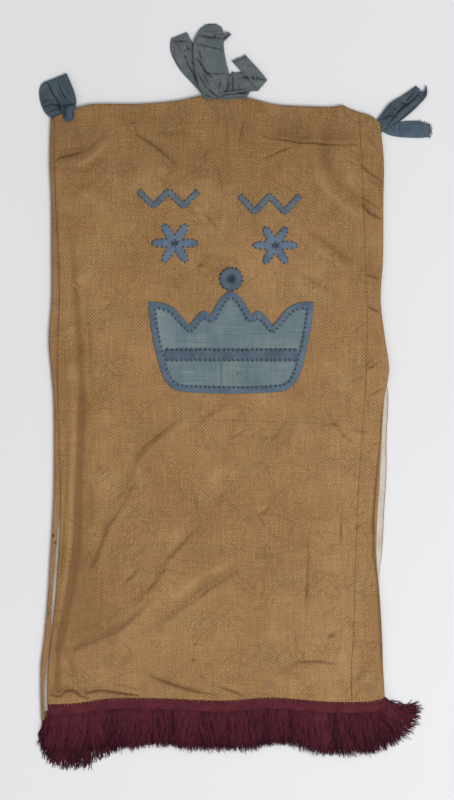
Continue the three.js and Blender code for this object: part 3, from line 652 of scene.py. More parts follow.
THREAD_STAGES = 7
THREAD_LENGTH = 50
THREAD_SECTION = ((-0.5, -0.28), (0.5, -0.28), (0.0, 0.6))
STITCH_SECTION = ((-0.5, -0.2), (0.0, -0.5), (0.5, -0.2), (0.35, 0.35), (-0.35, 0.35))


def spline(points, at):
    """A smooth curve through points, at places from 0 to 1, with even steps from point to point."""
    points = np.array(points, float)
    ends = np.vstack([2 * points[0] - points[1], points, 2 * points[-1] - points[-2]])
    gaps = np.sqrt(np.linalg.norm(np.diff(ends, axis=0), axis=1))[:, None]
    pieces = len(points) - 1
    i = np.minimum((np.asarray(at) * pieces).astype(int), pieces - 1)
    t = (np.asarray(at) * pieces - i)[:, None]
    before, start, stop, after = ends[i], ends[i + 1], ends[i + 2], ends[i + 3]
    g0, g1, g2 = gaps[i], gaps[i + 1], gaps[i + 2]
    leave = ((start - before) / g0 - (stop - before) / (g0 + g1) + (stop - start) / g1) * g1
    arrive = ((stop - start) / g1 - (after - start) / (g1 + g2) + (after - stop) / g2) * g1
    return (
        start * (1 + 2 * t) * (1 - t) ** 2
        + stop * t * t * (3 - 2 * t)
        + leave * t * (1 - t) ** 2
        + arrive * t * t * (t - 1)
    )


# Materials


def paint(red, green, blue):
    """A screen colour from 0 to 255 as the linear colour that a shader takes."""
    parts = np.array([red, green, blue]) / 255
    linear = np.where(parts <= 0.04045, parts / 12.92, ((parts + 0.055) / 1.055) ** 2.4)
    return (*linear.tolist(), 1.0)


class Finish:
    """A material, with short ways to add nodes to it and join them."""

    def __init__(self, name, roughness, sheen=0.0, specular=0.5):
        self.material = bpy.data.materials.new(name)
        self.material.use_nodes = True
        self.tree = self.material.node_tree
        self.shader = self.tree.nodes["Principled BSDF"]
        self.shader.inputs["Roughness"].default_value = roughness
        self.shader.inputs["Sheen Weight"].default_value = sheen
        self.shader.inputs["Sheen Roughness"].default_value = 0.45
        self.shader.inputs["Specular IOR Level"].default_value = specular

    def put(self, socket, value):
        """Joins an output to an input, or sets the input to a plain value."""
        if isinstance(value, bpy.types.NodeSocket):
            self.tree.links.new(value, socket)
        else:
            socket.default_value = value

    def maths(self, operation, *values, clamp=False):
        node = self.tree.nodes.new("ShaderNodeMath")
        node.operation = operation
        node.use_clamp = clamp
        for socket, value in zip(node.inputs, values):
            self.put(socket, value)
        return node.outputs[0]

    def times(self, a, b):
        return self.maths("MULTIPLY", a, b)

    def field(self, name, output="Fac"):
        node = self.tree.nodes.new("ShaderNodeAttribute")
        node.attribute_name = name
        return node.outputs[output]

    def split(self, vector):
        node = self.tree.nodes.new("ShaderNodeSeparateXYZ")
        self.put(node.inputs[0], vector)
        return node.outputs[0], node.outputs[1]

    def joined(self, x, y, z=0.0):
        node = self.tree.nodes.new("ShaderNodeCombineXYZ")
        for socket, value in zip(node.inputs, (x, y, z)):
            self.put(socket, value)
        return node.outputs[0]

    def noise(self, x, y, across, along, detail=2.0, seed=0.0):
        """Noise whose blotches are so many millimetres across and along."""
        node = self.tree.nodes.new("ShaderNodeTexNoise")
        node.inputs["Scale"].default_value = 1.0
        node.inputs["Detail"].default_value = detail
        place = (self.maths("DIVIDE", x, across), self.maths("DIVIDE", y, along), seed)
        self.put(node.inputs["Vector"], self.joined(*place))
        return node.outputs["Fac"]

    def between(self, value, low, high, start=0.0, stop=1.0):
        """Maps low to start and high to stop, smoothly, and holds beyond them."""
        node = self.tree.nodes.new("ShaderNodeMapRange")
        node.interpolation_type = "SMOOTHSTEP"
        for socket, setting in zip(node.inputs, (value, low, high, start, stop)):
            self.put(socket, setting)
        return node.outputs[0]

    def blend(self, share, a, b, kind="MIX"):
        node = self.tree.nodes.new("ShaderNodeMix")
        node.data_type = "RGBA"
        node.blend_type = kind
        node.clamp_factor = True
        self.put(node.inputs[0], share)
        self.put(node.inputs[6], a)
        self.put(node.inputs[7], b)
        return node.outputs[2]

    def wave(self, value, period, phase=0.0):
        """A cosine of a length, from -1 to 1."""
        turn = self.maths("MULTIPLY_ADD", value, 2 * math.pi / period, phase)
        return self.maths("COSINE", turn)

    def spots(self, x, y, places):
        """How much of a spot is at each place. Each of places is x, y, and the spot's radius."""
        most = 0.0
        for spot_x, spot_y, radius in places:
            aside, ahead = self.maths("SUBTRACT", x, spot_x), self.maths("SUBTRACT", y, spot_y)
            squares = self.maths("ADD", self.maths("POWER", aside, 2.0), self.maths("POWER", ahead, 2.0))
            away = self.maths("SQRT", squares)
            most = self.maths("MAXIMUM", most, self.between(away, radius * 0.35, radius, 1.0, 0.0))
        return most

    def bump(self, height, depth, strength=1.0):
        """Raises the surface by a height of 0 to 1 times a depth in millimetres."""
        node = self.tree.nodes.new("ShaderNodeBump")
        node.inputs["Strength"].default_value = strength
        node.inputs["Distance"].default_value = depth * MM
        self.put(node.inputs["Height"], height)
        self.put(self.shader.inputs["Normal"], node.outputs[0])

    def crinkles(self, x, y):
        """Fine lines on two slants, which come and go."""
        most = 0.0
        for lean, seed in ((0.75, 8.0), (2.5, 9.0)):
            cos, sin = math.cos(lean), math.sin(lean)
            along = self.maths("ADD", self.times(x, cos), self.times(y, sin))
            beside = self.maths("SUBTRACT", self.times(y, cos), self.times(x, sin))
            level = self.maths("SUBTRACT", self.noise(along, beside, 46, 15, 3.0, seed), 0.5)
            line = self.between(self.maths("ABSOLUTE", level), 0.0, 0.022, 1.0, 0.0)
            present = self.between(self.noise(x, y, 42, 42, 2.0, seed + 4), 0.46, 0.6)
            most = self.maths("MAXIMUM", most, self.times(line, present))
        return most

    def colour(self, value):
        """Makes a colour the surface's own."""
        self.base = value
        self.put(self.shader.inputs["Base Color"], value)

    def tint(self, share, *tone):
        """Lays a screen colour over the surface's own, by a share."""
        self.colour(self.blend(share, self.base, paint(*tone)))


DOT_PITCH = 5.3
DOT_ROWS = 4.54
THREAD_PITCH = 0.62
RIB_PITCH = 1.3
# Spots and stains: where each is, and its radius
CLOTH_SPOTS = (
    (-112.5, 760, 2.2), (-31, 53, 2.0), (-28, 73, 1.8), (-100, 110, 1.4), (128, 545, 1.5), (60, 232, 1.3),
    (95, 128, 1.4), (-66, 318, 1.4), (150, 470, 1.3), (-22, 262, 1.2), (34, 92, 1.3), (-188, 402, 1.6),
)
CLOTH_STAINS = ((202, 15, 12), (211, 28, 8), (70, 22, 9))
BORDER_SPOTS = ((-216, 217, 3.2), (-213.5, 208, 3.0))
CROWN_SPOTS = (
    (27, 431, 2.4), (32, 430, 1.4), (39, 425.5, 1.6), (68, 424, 1.4), (49, 520, 1.2), (-30, 438, 1.2),
)


def gold_cloth(name, light, dark, spots):
    """A pin-dotted golden brown cloth, thready and crinkled, faded unevenly and browner at its top, with
    painted shade, highlights and glints.
    """
    finish = Finish(name, 0.6, sheen=0.03, specular=0.3)
    x, y = finish.split(finish.field("weave", "Vector"))
    broad = finish.noise(x, y, 120, 150, 3.0, 1.0)
    cloudy = finish.noise(x, y, 34, 40, 3.0, 2.0)
    patchy = finish.noise(x, y, 52, 64, 3.0, 5.0)
    lines = finish.maths("ADD", finish.noise(x, y, 2.4, 40, 2.0, 3.0), finish.noise(x, y, 44, 1.8, 2.0, 4.0))
    grain_and_glints = finish.noise(x, y, 2.3, 1.8, 3.0, 7.0)
    finish.colour(finish.blend(finish.between(broad, 0.3, 0.7), light, dark))
    # Darker and browner towards the top, more so in cloudy places.
    browner_towards_top = finish.times(finish.between(y, 540.0, 790.0), finish.between(cloudy, 0.2, 0.75, 0.5, 1.0))
    finish.tint(finish.times(browner_towards_top, 0.8), 118, 88, 46)
    finish.tint(finish.between(cloudy, 0.54, 0.76, 0.0, 0.4), 168, 114, 70)
    finish.tint(finish.between(patchy, 0.54, 0.74, 0.0, 0.32), 188, 152, 106)
    finish.tint(finish.between(lines, 0.75, 1.05, 0.2, 0.0), 118, 82, 46)
    finish.tint(finish.between(lines, 1.0, 1.3, 0.0, 0.18), 208, 168, 112)
    finish.tint(finish.between(grain_and_glints, 0.3, 0.5, 0.36, 0.0), 114, 80, 40)
    # The grain's pale specks are painted glints.
    finish.tint(finish.between(grain_and_glints, 0.52, 0.72, 0.0, 0.4), 216, 172, 112)
    dots = finish.times(finish.wave(x, DOT_PITCH), finish.wave(y, DOT_ROWS))
    shown = finish.between(finish.noise(x, y, 40, 40, 2.0, 6.0), 0.36, 0.62, 0.25, 1.0)
    dots = finish.times(finish.between(dots, 0.15, 0.62), shown)
    finish.tint(finish.times(dots, 0.6), 96, 66, 34)
    crinkles = finish.crinkles(x, y)
    # Painted shade along the crinkles.
    finish.tint(finish.times(crinkles, 0.26), 96, 66, 36)
    stained = finish.times(finish.spots(x, y, CLOTH_STAINS), finish.between(grain_and_glints, 0.3, 0.5, 0.5, 1.0))
    finish.tint(finish.times(stained, 0.4), 116, 92, 76)
    finish.tint(finish.times(finish.spots(x, y, spots), 0.8), 66, 46, 28)
    # Painted shade along the folds and painted highlight on the pale bands, with random blotches of tone.
    shade = finish.field("shade")
    finish.tint(finish.between(shade, 0.0, 1.7, 0.0, 0.68), 104, 69, 28)
    finish.tint(finish.between(shade, 0.0, -0.8, 0.0, 0.28), 206, 164, 112)
    # Painted shade in the creases and hollows.
    finish.tint(finish.between(finish.field("wear"), 0.06, 1.5, 0.0, 0.66), 80, 52, 26)
    finish.put(finish.shader.inputs["Roughness"], finish.between(broad, 0.3, 0.7, 0.5, 0.62))
    weave = finish.times(finish.wave(x, THREAD_PITCH), finish.wave(y, THREAD_PITCH * 1.2))
    height = finish.maths("MULTIPLY_ADD", weave, 0.18, finish.times(dots, -0.5))
    for field, depth in ((lines, 0.9), (grain_and_glints, 1.2), (crinkles, -1.6)):
        height = finish.maths("MULTIPLY_ADD", field, depth, height)
    finish.bump(height, 0.24, 0.9)
    return finish.material


def lining_cloth():
    """A pale plain-woven lining with faint stains."""
    finish = Finish("lining_cloth", 0.85, specular=0.3)
    x, y = finish.split(finish.field("weave", "Vector"))
    cloudy = finish.noise(x, y, 18, 40, 3.0, 1.0)
    finish.colour(finish.blend(finish.between(cloudy, 0.35, 0.7), paint(220, 212, 201), paint(194, 184, 171)))
    slubs = finish.noise(x, y, 1.2, 14, 2.0, 2.0)
    finish.tint(finish.between(slubs, 0.4, 0.7, 0.0, 0.3), 176, 162, 136)
    finish.bump(finish.times(finish.wave(x, 0.9), finish.wave(y, 0.9)), 0.12, 0.8)
    return finish.material


def fringe_thread(name, bright, dark):
    """Twisted thread, each strand in its own shade."""
    finish = Finish(name, 0.7, specular=0.12)
    x, y = finish.split(finish.field("weave", "Vector"))
    mottled = finish.maths("MULTIPLY_ADD", finish.noise(x, y, 3.0, 8.0, 2.0, 1.0), 1.1, -0.55)
    # The tone holds painted light on the higher strands and painted shade on the lower ones.
    shade = finish.maths("ADD", finish.field("tone"), mottled)
    finish.colour(finish.blend(finish.between(shade, 0.0, 1.0), dark, bright))
    finish.bump(finish.wave(finish.maths("MULTIPLY_ADD", x, 3.0, y), 1.1), 0.16, 0.9)
    return finish.material


def heading_tape():
    """A woven tape with fine upright ribs and lighter rows."""
    finish = Finish("heading_tape", 0.75, specular=0.15)
    x, y = finish.split(finish.field("weave", "Vector"))
    ribs = finish.wave(x, 1.75)
    rows = finish.wave(y, 3.6, 0.8)
    cloudy = finish.noise(x, y, 14, 9, 3.0, 1.0)
    finish.colour(finish.blend(finish.between(cloudy, 0.3, 0.7), paint(106, 42, 55), paint(88, 32, 42)))
    finish.tint(finish.between(ribs, -1.0, 0.4, 0.5, 0.0), 60, 22, 30)
    finish.tint(finish.between(rows, 0.3, 1.0, 0.0, 0.14), 122, 54, 72)
    finish.bump(finish.maths("MULTIPLY_ADD", rows, 0.4, ribs), 0.3, 0.9)
    return finish.material


def crown_cloth():
    """A faded blue-grey cloth with ribs both ways and pale rubbed streaks, painted darker along its creases.
    """
    finish = Finish("crown_cloth", 0.8, specular=0.25)
    x, y = finish.split(finish.field("weave", "Vector"))
    cloudy = finish.noise(x, y, 26, 40, 3.0, 1.0)
    finish.colour(finish.blend(finish.between(cloudy, 0.3, 0.7), paint(112, 129, 134), paint(97, 116, 123)))
    faded = finish.between(finish.noise(x, y, 34, 44, 3.0, 2.0), 0.46, 0.72, 0.0, 0.75)
    finish.tint(faded, 125, 137, 132)
    bleached = finish.times(finish.between(x, -88.0, -50.0, 1.0, 0.0), finish.between(y, 440.0, 470.0))
    finish.tint(finish.times(bleached, 0.5), 158, 172, 170)
    upright = finish.noise(x, y, 0.9, 50, 2.0, 3.0)
    level = finish.noise(x, y, 60, 1.1, 2.0, 4.0)
    finish.tint(finish.between(upright, 0.38, 0.56, 0.34, 0.0), 78, 98, 108)
    finish.tint(finish.between(level, 0.36, 0.56, 0.3, 0.0), 86, 104, 108)
    finish.tint(finish.between(level, 0.54, 0.72, 0.0, 0.3), 160, 172, 166)
    finish.tint(finish.times(finish.spots(x, y, CROWN_SPOTS), 0.75), 66, 74, 72)
    # Painted shade along the pulled threads.
    finish.tint(finish.between(finish.field("wear"), 0.05, 1.0, 0.0, 0.6), 58, 76, 88)
    finish.bump(finish.maths("ADD", upright, level), 0.35, 0.8)
    return finish.material


def ribbed_ribbon(name, light, dark, grey):
    """A ribbon with fine ribs from edge to edge, lighter and greyer where it is rubbed, with painted shade in
    its creases and hollows.
    """
    finish = Finish(name, 0.66, specular=0.3)
    x, y = finish.split(finish.field("weave", "Vector"))
    cloudy = finish.noise(x, y, 16, 22, 3.0, 1.0)
    finish.colour(finish.blend(finish.between(cloudy, 0.32, 0.68), paint(*light), paint(*dark)))
    finish.tint(finish.between(finish.noise(x, y, 11, 13, 3.0, 2.0), 0.5, 0.74, 0.0, 0.6), *grey)
    slubs = finish.noise(x, y, 12, 0.9, 2.0, 3.0)
    finish.tint(finish.between(slubs, 0.36, 0.6, 0.3, 0.0), *dark)
    finish.tint(finish.between(slubs, 0.52, 0.72, 0.0, 0.2), *grey)
    # Painted shade, nearly black, in the creases, pleats and hollows.
    shadow = (*(part * 0.22 for part in paint(*dark)[:3]), 1.0)
    hollow_darkening = finish.between(finish.field("wear"), 0.05, 1.3, 0.0, 0.85)
    finish.colour(finish.blend(hollow_darkening, finish.base, shadow))
    ribs = finish.wave(y, RIB_PITCH)
    finish.bump(finish.maths("MULTIPLY_ADD", slubs, 0.8, finish.times(ribs, 0.4)), 0.16, 0.7)
    return finish.material


def sewing_thread(name, light, dark):
    finish = Finish(name, 0.6, specular=0.4)
    x, y = finish.split(finish.field("weave", "Vector"))
    twist = finish.wave(finish.maths("MULTIPLY_ADD", x, 2.0, y), 0.7)
    mottled = finish.noise(x, y, 2.0, 3.0, 2.0, 1.0)
    finish.colour(finish.blend(finish.between(mottled, 0.35, 0.65), light, dark))
    finish.bump(twist, 0.1, 0.8)
    return finish.material


def floor_finish():
    """A pale matt floor with the faintest unevenness."""
    finish = Finish("floor_finish", 0.95, specular=0.1)
    node = finish.tree.nodes.new("ShaderNodeTexCoord")
    x, y = finish.split(node.outputs["Object"])
    cloudy = finish.noise(x, y, 0.9, 0.9, 2.0, 1.0)
    finish.colour(finish.blend(finish.between(cloudy, 0.3, 0.7), paint(233, 233, 236), paint(229, 229, 231)))
    return finish.material


gold = gold_cloth("gold_cloth", paint(163, 124, 77), paint(149, 111, 67), CLOTH_SPOTS)
gold_back = gold_cloth("back_cloth", paint(158, 119, 76), paint(142, 104, 65), BORDER_SPOTS)
lining = lining_cloth()
wine_front = fringe_thread("wine_fringe", paint(110, 47, 64), paint(57, 22, 32))
wine_back = fringe_thread("wine_fringe_under", paint(107, 44, 59), paint(57, 22, 30))
wine_tape = heading_tape()
faded_blue = crown_cloth()
RIBBON_TONES = {
    "border_ribbon": ((92, 109, 126), (76, 93, 110), (106, 118, 124)),
    "zigzag_ribbon": ((97, 108, 117), (80, 91, 101), (106, 114, 120)),
    "crown_ribbon": ((83, 98, 112), (67, 83, 98), (94, 105, 110)),
    "blue_ribbon": ((101, 118, 136), (82, 98, 118), (103, 115, 127)),
    "ball_ribbon": ((90, 106, 118), (72, 88, 102), (96, 106, 114)),
    "tie_ribbon_left": ((73, 88, 97), (58, 72, 82), (88, 98, 104)),
    "tie_ribbon_tail": ((70, 88, 106), (50, 66, 82), (80, 94, 106)),
    "tie_ribbon_middle": ((98, 105, 106), (83, 92, 95), (113, 117, 113)),
    "tie_ribbon_right": ((69, 82, 92), (54, 67, 78), (84, 95, 100)),
    "tie_ribbon_bluer": ((78, 95, 109), (65, 82, 97), (90, 101, 108)),
}
ribbons = {name: ribbed_ribbon(name, *tones) for name, tones in RIBBON_TONES.items()}
dark_thread = sewing_thread("dark_thread", paint(54, 72, 82), paint(38, 52, 61))
fray_thread = sewing_thread("fray_thread", paint(84, 98, 106), paint(60, 74, 84))
gold_thread = sewing_thread("gold_thread", paint(188, 150, 100), paint(150, 112, 70))


# The cloth panels

FRONT_CELLS = (190, 400)
STRIP_CELLS = (36, 640)
LINING_CELLS = (40, 220)
BACK_ROWS = 260
BACK_COLUMNS = (230, 160, 110, 92, 79, 66, 48, 30, 16, 8, 4)
EDGE_LAP = 0.35
CLOTH_HEIGHT = 787.0


def closer_rows(v):
    """Moves even rows so that they lie closer along the hem and by the tuck below the top edge."""
    share = np.linspace(0, 1, 2001)
    y = share * CLOTH_HEIGHT
    density = 1 + 1.4 * ((y < 34) | (np.abs(y - 735) < 14))
    run = np.concatenate([[0], np.cumsum(density[1:])])
    return np.interp(v, run / run[-1], share)


def panel_piece(name, cells, left, right, node):
    """A sheet of the front that follows its folds and creases."""
    u, v = grid_places(*cells)
    x, y = on_panel(u, closer_rows(v), left, right, hem_of, top_of)
    relief, hollow_darkening, shade = front_relief(x, y)
    z = FRONT_UNDERSIDE + relief
    weave = points_at(x + 1.6 * np.sin(y / 75), y + 1.4 * np.sin(x / 60))
    points, faces = closed_sheet(points_at(x, y, z + FRONT_THICKNESS), points_at(x, y, z))
    piece = make_piece(
        name, points, faces, gold, "gold_cloth", [node],
        weave=both_faces(weave), wear=both_faces(hollow_darkening), shade=both_faces(shade),
    )


def back_cloth():
    """The back lies flat, and its left edge rolls up and over as a border."""
    curve = BACK_MIDDLE + ROLL_RADIUS
    crest = curve + ROLL_RADIUS
    section = [("right", 0.0, BACK_MIDDLE)]
    section += [("border", place, BACK_MIDDLE) for place in BACK_COLUMNS]
    section += [
        ("border", curve - ROLL_RADIUS * math.cos(turn), curve + ROLL_RADIUS * math.sin(turn))
        for turn in np.radians(np.linspace(-90, 90, 11)[1:-1])
    ]
    section += [("rolled", share, crest) for share in (0.0, 0.33, 0.66, 1.0)]
    v = np.linspace(0, 1, BACK_ROWS + 1)
    grid = []
    for kind, place, level in section:
        x = np.zeros_like(v)
        for _ in range(4):
            y = mix(back_hem_of(x), top_of(x) - BACK_BELOW_TOP, v)
            border = side("border", y)
            inner = np.maximum(side("inner", y), border + NARROWEST_BORDER)
            if kind == "right":
                x = side("right", y) + read(RIGHT_LAYERS, "back", y)
            elif kind == "border":
                x = border + place
            else:
                x = mix(border + curve, inner, place)
        wavy = 0.3 * rumple(x, y, 26, 21) * ramp(level, 1.0, crest)
        droop = -0.35 * place**3 if kind == "rolled" else 0.0
        grid.append(points_at(x, y, level + wavy + droop))
    if len(grid) % 2 == 0:
        grid.insert(1, (grid[0] + grid[1]) / 2)
    grid = np.stack(grid, 1)
    points, faces = sheet_around(grid, BACK_THICKNESS)
    # Painted shade: darker where the cloth lies low, and along the inner side of the rolled border.
    dark = 0.5 * ramp(grid[..., 2], 2.0, 0.9)
    dark[:, -2:] += 0.45
    piece = make_piece(
        "back_cloth", points, faces, gold_back, "back_cloth", ["back_panel"],
        weave=both_faces(points_at(grid[..., 0], grid[..., 1])), wear=both_faces(dark),
    )


def lining_sheet():
    u, v = grid_places(*LINING_CELLS)
    x, y = on_panel(
        u,
        v,
        lambda y: side("border", y) + NARROWEST_BORDER - 1,
        lambda y: side("right", y) + read(RIGHT_LAYERS, "lining", y),
        lambda x: back_hem_of(x) + LINING_ABOVE_BACK_HEM,
        lambda x: top_of(x) - LINING_BELOW_TOP,
    )
    in_slit = ramp(side("front", y) - x, -1.5, 2.5)
    z = LINING_TOP - 0.25 + 0.2 * rumple(x, y, 12, 31) + 1.3 * in_slit * ramp(y, -14, -8)
    points, faces = closed_sheet(points_at(x, y, z), points_at(x, y, LINING_UNDERSIDE))
    piece = make_piece(
        "lining_sheet", points, faces, lining, "lining_cloth", ["lining"], weave=both_faces(points_at(x, y))
    )


# The fringes


def heading(name, left, right, edge_of, depth, underside, thickness):
    """A ribbed tape along a hem, whose top edge waves a little over the stitches."""
    u, v = grid_places(220, 8)
    x = mix(left, right, u)
    wavy = uneven(x, 0 * x, (0.7, 5, 41), (0.5, 2.2, 42))
    drop = 0.1 + (HEADING_GAP + depth - 0.1) * (1 - v)
    y = edge_of(x) - drop + 0.5 * wavy * (v**3 - 0.6) + 0.5 * rumple(x, 0 * x, 9, 43) * (1 - v)
    bulge = 0.4 * np.sin(np.pi * v) + 0.18 * np.sin(x * 2 * np.pi / 3.5)
    points, faces = closed_sheet(points_at(x, y, underside + thickness + bulge), points_at(x, y, underside))
    weave = both_faces(points_at(x, v * depth))
    return make_piece(name, points, faces, wine_tape, "wine_fringe", weave=weave)


def fringe(
    name, fan, left, right, edge_of, depth, root_level, floor_level, pile, counts, material, node, seed
):
    """Threads in tufts below a heading. Each tuft bends its own way."""
    chance = np.random.default_rng(seed)
    tufts, each = counts
    count = tufts * each
    tuft = np.repeat(np.arange(tufts), each)
    last = fan["place"][-1]
    centres = np.linspace(left, last, tufts) + chance.normal(0, 1.6, tufts)
    spread = chance.normal(0, 2.6, count)
    place = np.clip(centres[tuft] + spread, left, last)
    root_x = np.minimum(place, right - 0.8)
    climb = np.maximum(place - right, 0) * 1.25
    root_y = edge_of(root_x) - HEADING_GAP - depth + 1.0 + climb + chance.uniform(0, 2.5, count)
    drift = rumple(centres, 0 * centres, 17, seed + 1) * 7 + chance.normal(0, 5.5, tufts)
    lengths = 1 + 0.05 * rumple(centres, 0 * centres, 8, seed + 2) + chance.normal(0, 0.035, tufts)
    curl = chance.normal(0, 12, tufts)
    phase = chance.uniform(0, 2 * np.pi, tufts)[tuft, None]
    share = np.linspace(0, 1, THREAD_STAGES)
    start, end = (read(fan, column, place, "place")[:, None] for column in ("start", "end"))
    angle = mix(start, end, 1 - (1 - share) ** 2) + (drift[tuft] + chance.normal(0, 3.2, count))[:, None]
    angle = angle + curl[tuft, None] * np.sin(2.6 * np.pi * share + phase)
    own_turns = chance.uniform(0.8, 2.2, count)[:, None]
    own_phase = chance.uniform(0, 2 * np.pi, count)[:, None]
    own_curl = chance.normal(0, 17, count)[:, None] * ramp(share, 0.0, 0.35)
    angle = angle + own_curl * np.sin(2 * np.pi * own_turns * share + own_phase)
    angle = np.radians(angle + 1.4 * spread[:, None] * share)
    reach = read(fan, "length", place, "place") * lengths[tuft] * chance.uniform(0.82, 1.04, count)
    steps = (reach / (THREAD_STAGES - 1))[:, None] * (share > 0)
    x = root_x[:, None] + np.cumsum(np.cos(angle) * steps, 1)
    y = root_y[:, None] + np.cumsum(np.sin(angle) * steps, 1)
    lift = chance.uniform(0, 1, count)[:, None]
    rest = floor_level(x) + 0.35 + pile * lift * (1 - 0.55 * share)
    humps = 0.5 * np.sin(3 * np.pi * share + phase) * ramp(share, 0.1, 0.4)
    z = mix(root_level + 0.9 * lift, rest + humps * lift, ramp(share, 0, 0.55))
    widths = chance.uniform(0.85, 1.25, count)[:, None] * (1 - 0.5 * share**3)
    points, faces = threads(points_at(x, y, np.maximum(z, 0.35)), widths, THREAD_SECTION)
    sides = len(THREAD_SECTION)
    weave = np.repeat(points_at(place[:, None], share * THREAD_LENGTH).reshape(-1, 3), sides, 0)
    # Each strand's tone: random by tuft and strand, with painted light on the strands that lie higher and
    # painted shade on the lower ones, and darker towards the tips.
    shade = chance.normal(0.5, 0.16, tufts)[tuft] + chance.normal(0, 0.3, count) + 0.3 * (lift[:, 0] - 0.5)
    shade += 0.3 * rumple(place, 0 * place, 38, seed + 3)
    tone = np.repeat((shade[:, None] - 0.12 * share).ravel(), sides)
    return make_piece(name, points, faces, material, "wine_fringe", [node], weave=weave, tone=tone)


back_cloth()
lining_sheet()
panel_piece(
    "front_cloth", FRONT_CELLS, lambda y: side("front", y) - EDGE_LAP,
    lambda y: side("seam", y) - SEAM_GAP / 2, "front_panel",
)
panel_piece(
    "side_strip_cloth", STRIP_CELLS, lambda y: side("seam", y) + SEAM_GAP / 2,
    lambda y: side("right", y), "side_strip",
)
front_tape = heading(
    "front_heading", -223.0, HEADING_RIGHT, hem_of, HEADING_DEPTH, underside=FRONT_UNDERSIDE, thickness=1.6
)
back_tape = heading(
    "back_heading", *BACK_HEADING_ENDS, back_hem_of, BACK_HEADING_DEPTH, underside=0.1, thickness=1.4
)
front_threads = fringe(
    "front_fringe_threads", FRONT_FAN, -222.0, HEADING_RIGHT, hem_of, HEADING_DEPTH, root_level=4.2,
    floor_level=lambda x: mix(1.8, 0.0, ramp(x, 216, 238)), pile=3.6, counts=(330, 15),
    material=wine_front, node="front_fringe", seed=101,
)
back_threads = fringe(
    "back_fringe_threads", BACK_FAN, *BACK_HEADING_ENDS, back_hem_of, BACK_HEADING_DEPTH, root_level=0.6,
    floor_level=lambda x: 0 * x, pile=1.2, counts=(230, 11), material=wine_back, node="back_fringe", seed=202,
)


# The sewn ornaments

CROWN = {"x": 18.5, "y": 404.5, "peak": 135.5, "ball": 15.5}
CROWN_HEART = 15.0
CROWN_MIDDLE = (CROWN["x"], CROWN["y"] + CROWN_HEART)
# Pulled threads of the crown's patch: 0 for upright and 1 for level ones, their place, width and
# strength, and where along them they start and are whole.
CROWN_PULLS = (
    (0, 5.2, 1.6, 0.7, 470, 440),
    (0, 5.5, 1.6, 0.3, 470, 500),
    (0, 38, 1.8, 0.25, 460, 440),
    (1, 483, 1.3, 0.35, -5, 20),
    (1, 488, 1.3, 0.3, 0, 30),
)
BORDER_WIDTH = 8.6
BAND_WIDTH = 15.6
BAND_MIDDLE = CROWN["y"] + 51.0
BAND_HALF = 87.0
BALL_MIDDLE = (CROWN["x"], CROWN["y"] + CROWN["peak"] + SEAM_GAP + CROWN["ball"])
ZIGZAG_WIDTH = 8.2
PATCH_THICKNESS = 0.6
ORNAMENT_THICKNESS = 0.7
STRIP_CELL = 1.1
STITCH_PITCH = 6.2
BALL_STITCH_INSET = 0.3
ROSETTE_EYE = 4.2


def curve_between(start, corner, stop, steps=24):
    """Points along a curve that leaves start and reaches stop towards one corner."""
    t = np.linspace(0, 1, steps + 1)[1:, None]
    start, corner, stop = (np.array(p, float) for p in (start, corner, stop))
    return start * (1 - t) ** 2 + 2 * corner * t * (1 - t) + stop * t * t


def crown_outline():
    """Peak, hump, valley, horn and round lower corner, drawn as a right half and mirrored."""
    half = np.vstack([
        [(0, CROWN["peak"])],
        curve_between((0, CROWN["peak"]), (11, 133), (20, 116)),
        curve_between((20, 116), (24, 109), (27, 103.5), 8),
        curve_between((27, 103.5), (35, 114), (44, 104), 12),
        curve_between((44, 104), (49, 98), (55.5, 90), 8),
        curve_between((55.5, 90), (62, 98.5), (69, 107), 8),
        curve_between((69, 107), (82, 122.5), (109, 121)),
        curve_between((109, 121), (107.5, 84), (95.5, 42)),
        curve_between((95.5, 42), (89, 4), (62, 2)),
        curve_between((62, 2), (31, 0), (0, 0)),
    ])
    return np.vstack([half, half[-2:0:-1] * (-1, 1)])


def crown_rim(inset=0.0):
    """The ways from the crown's heart to its outline's points, and how far it is each way to a line
    that runs inside the outline by a width."""
    outline = crown_outline()
    from_heart = outline - (0, CROWN_HEART)
    turns = np.minimum.accumulate(np.unwrap(np.arctan2(from_heart[:, 1], from_heart[:, 0])))
    rim = np.hypot(from_heart[:, 0], from_heart[:, 1])
    if inset == 0:
        return turns, rim
    radii = np.linspace(2, 150, 371)[:, None]
    x, y = radii * np.cos(turns), CROWN_HEART + radii * np.sin(turns)
    away = np.abs(nearest(np.vstack([outline, outline[:1]]).tolist(), x, y)[0])
    free = (away >= inset) & (radii < rim)
    return turns, np.where(free, radii, 0).max(0)


def on_front(x, y, level):
    return points_at(x, y, front_top(x, y) + level)


def polar_piece(name, middle, radii, turns, levels, thickness, material, slot, node, wear):
    """A sewn patch from rings round its middle: radii by ring and turn, levels above the front."""
    x = middle[0] + radii * np.cos(turns)
    y = middle[1] + radii * np.sin(turns)
    rows = np.arange(len(radii) - 1, 0, -4)
    under = on_front(x[rows], y[rows], np.minimum(levels[rows], levels.min() + 0.2) - thickness)
    points, faces = ringed(np.concatenate([on_front(x, y, levels), under]))
    hollow_darkening = np.concatenate([wear.ravel(), wear[rows].ravel(), [wear[0].mean(), 0]])
    return make_piece(name, points, faces, material, slot, [node], weave=points * (1, 1, 0), wear=hollow_darkening)


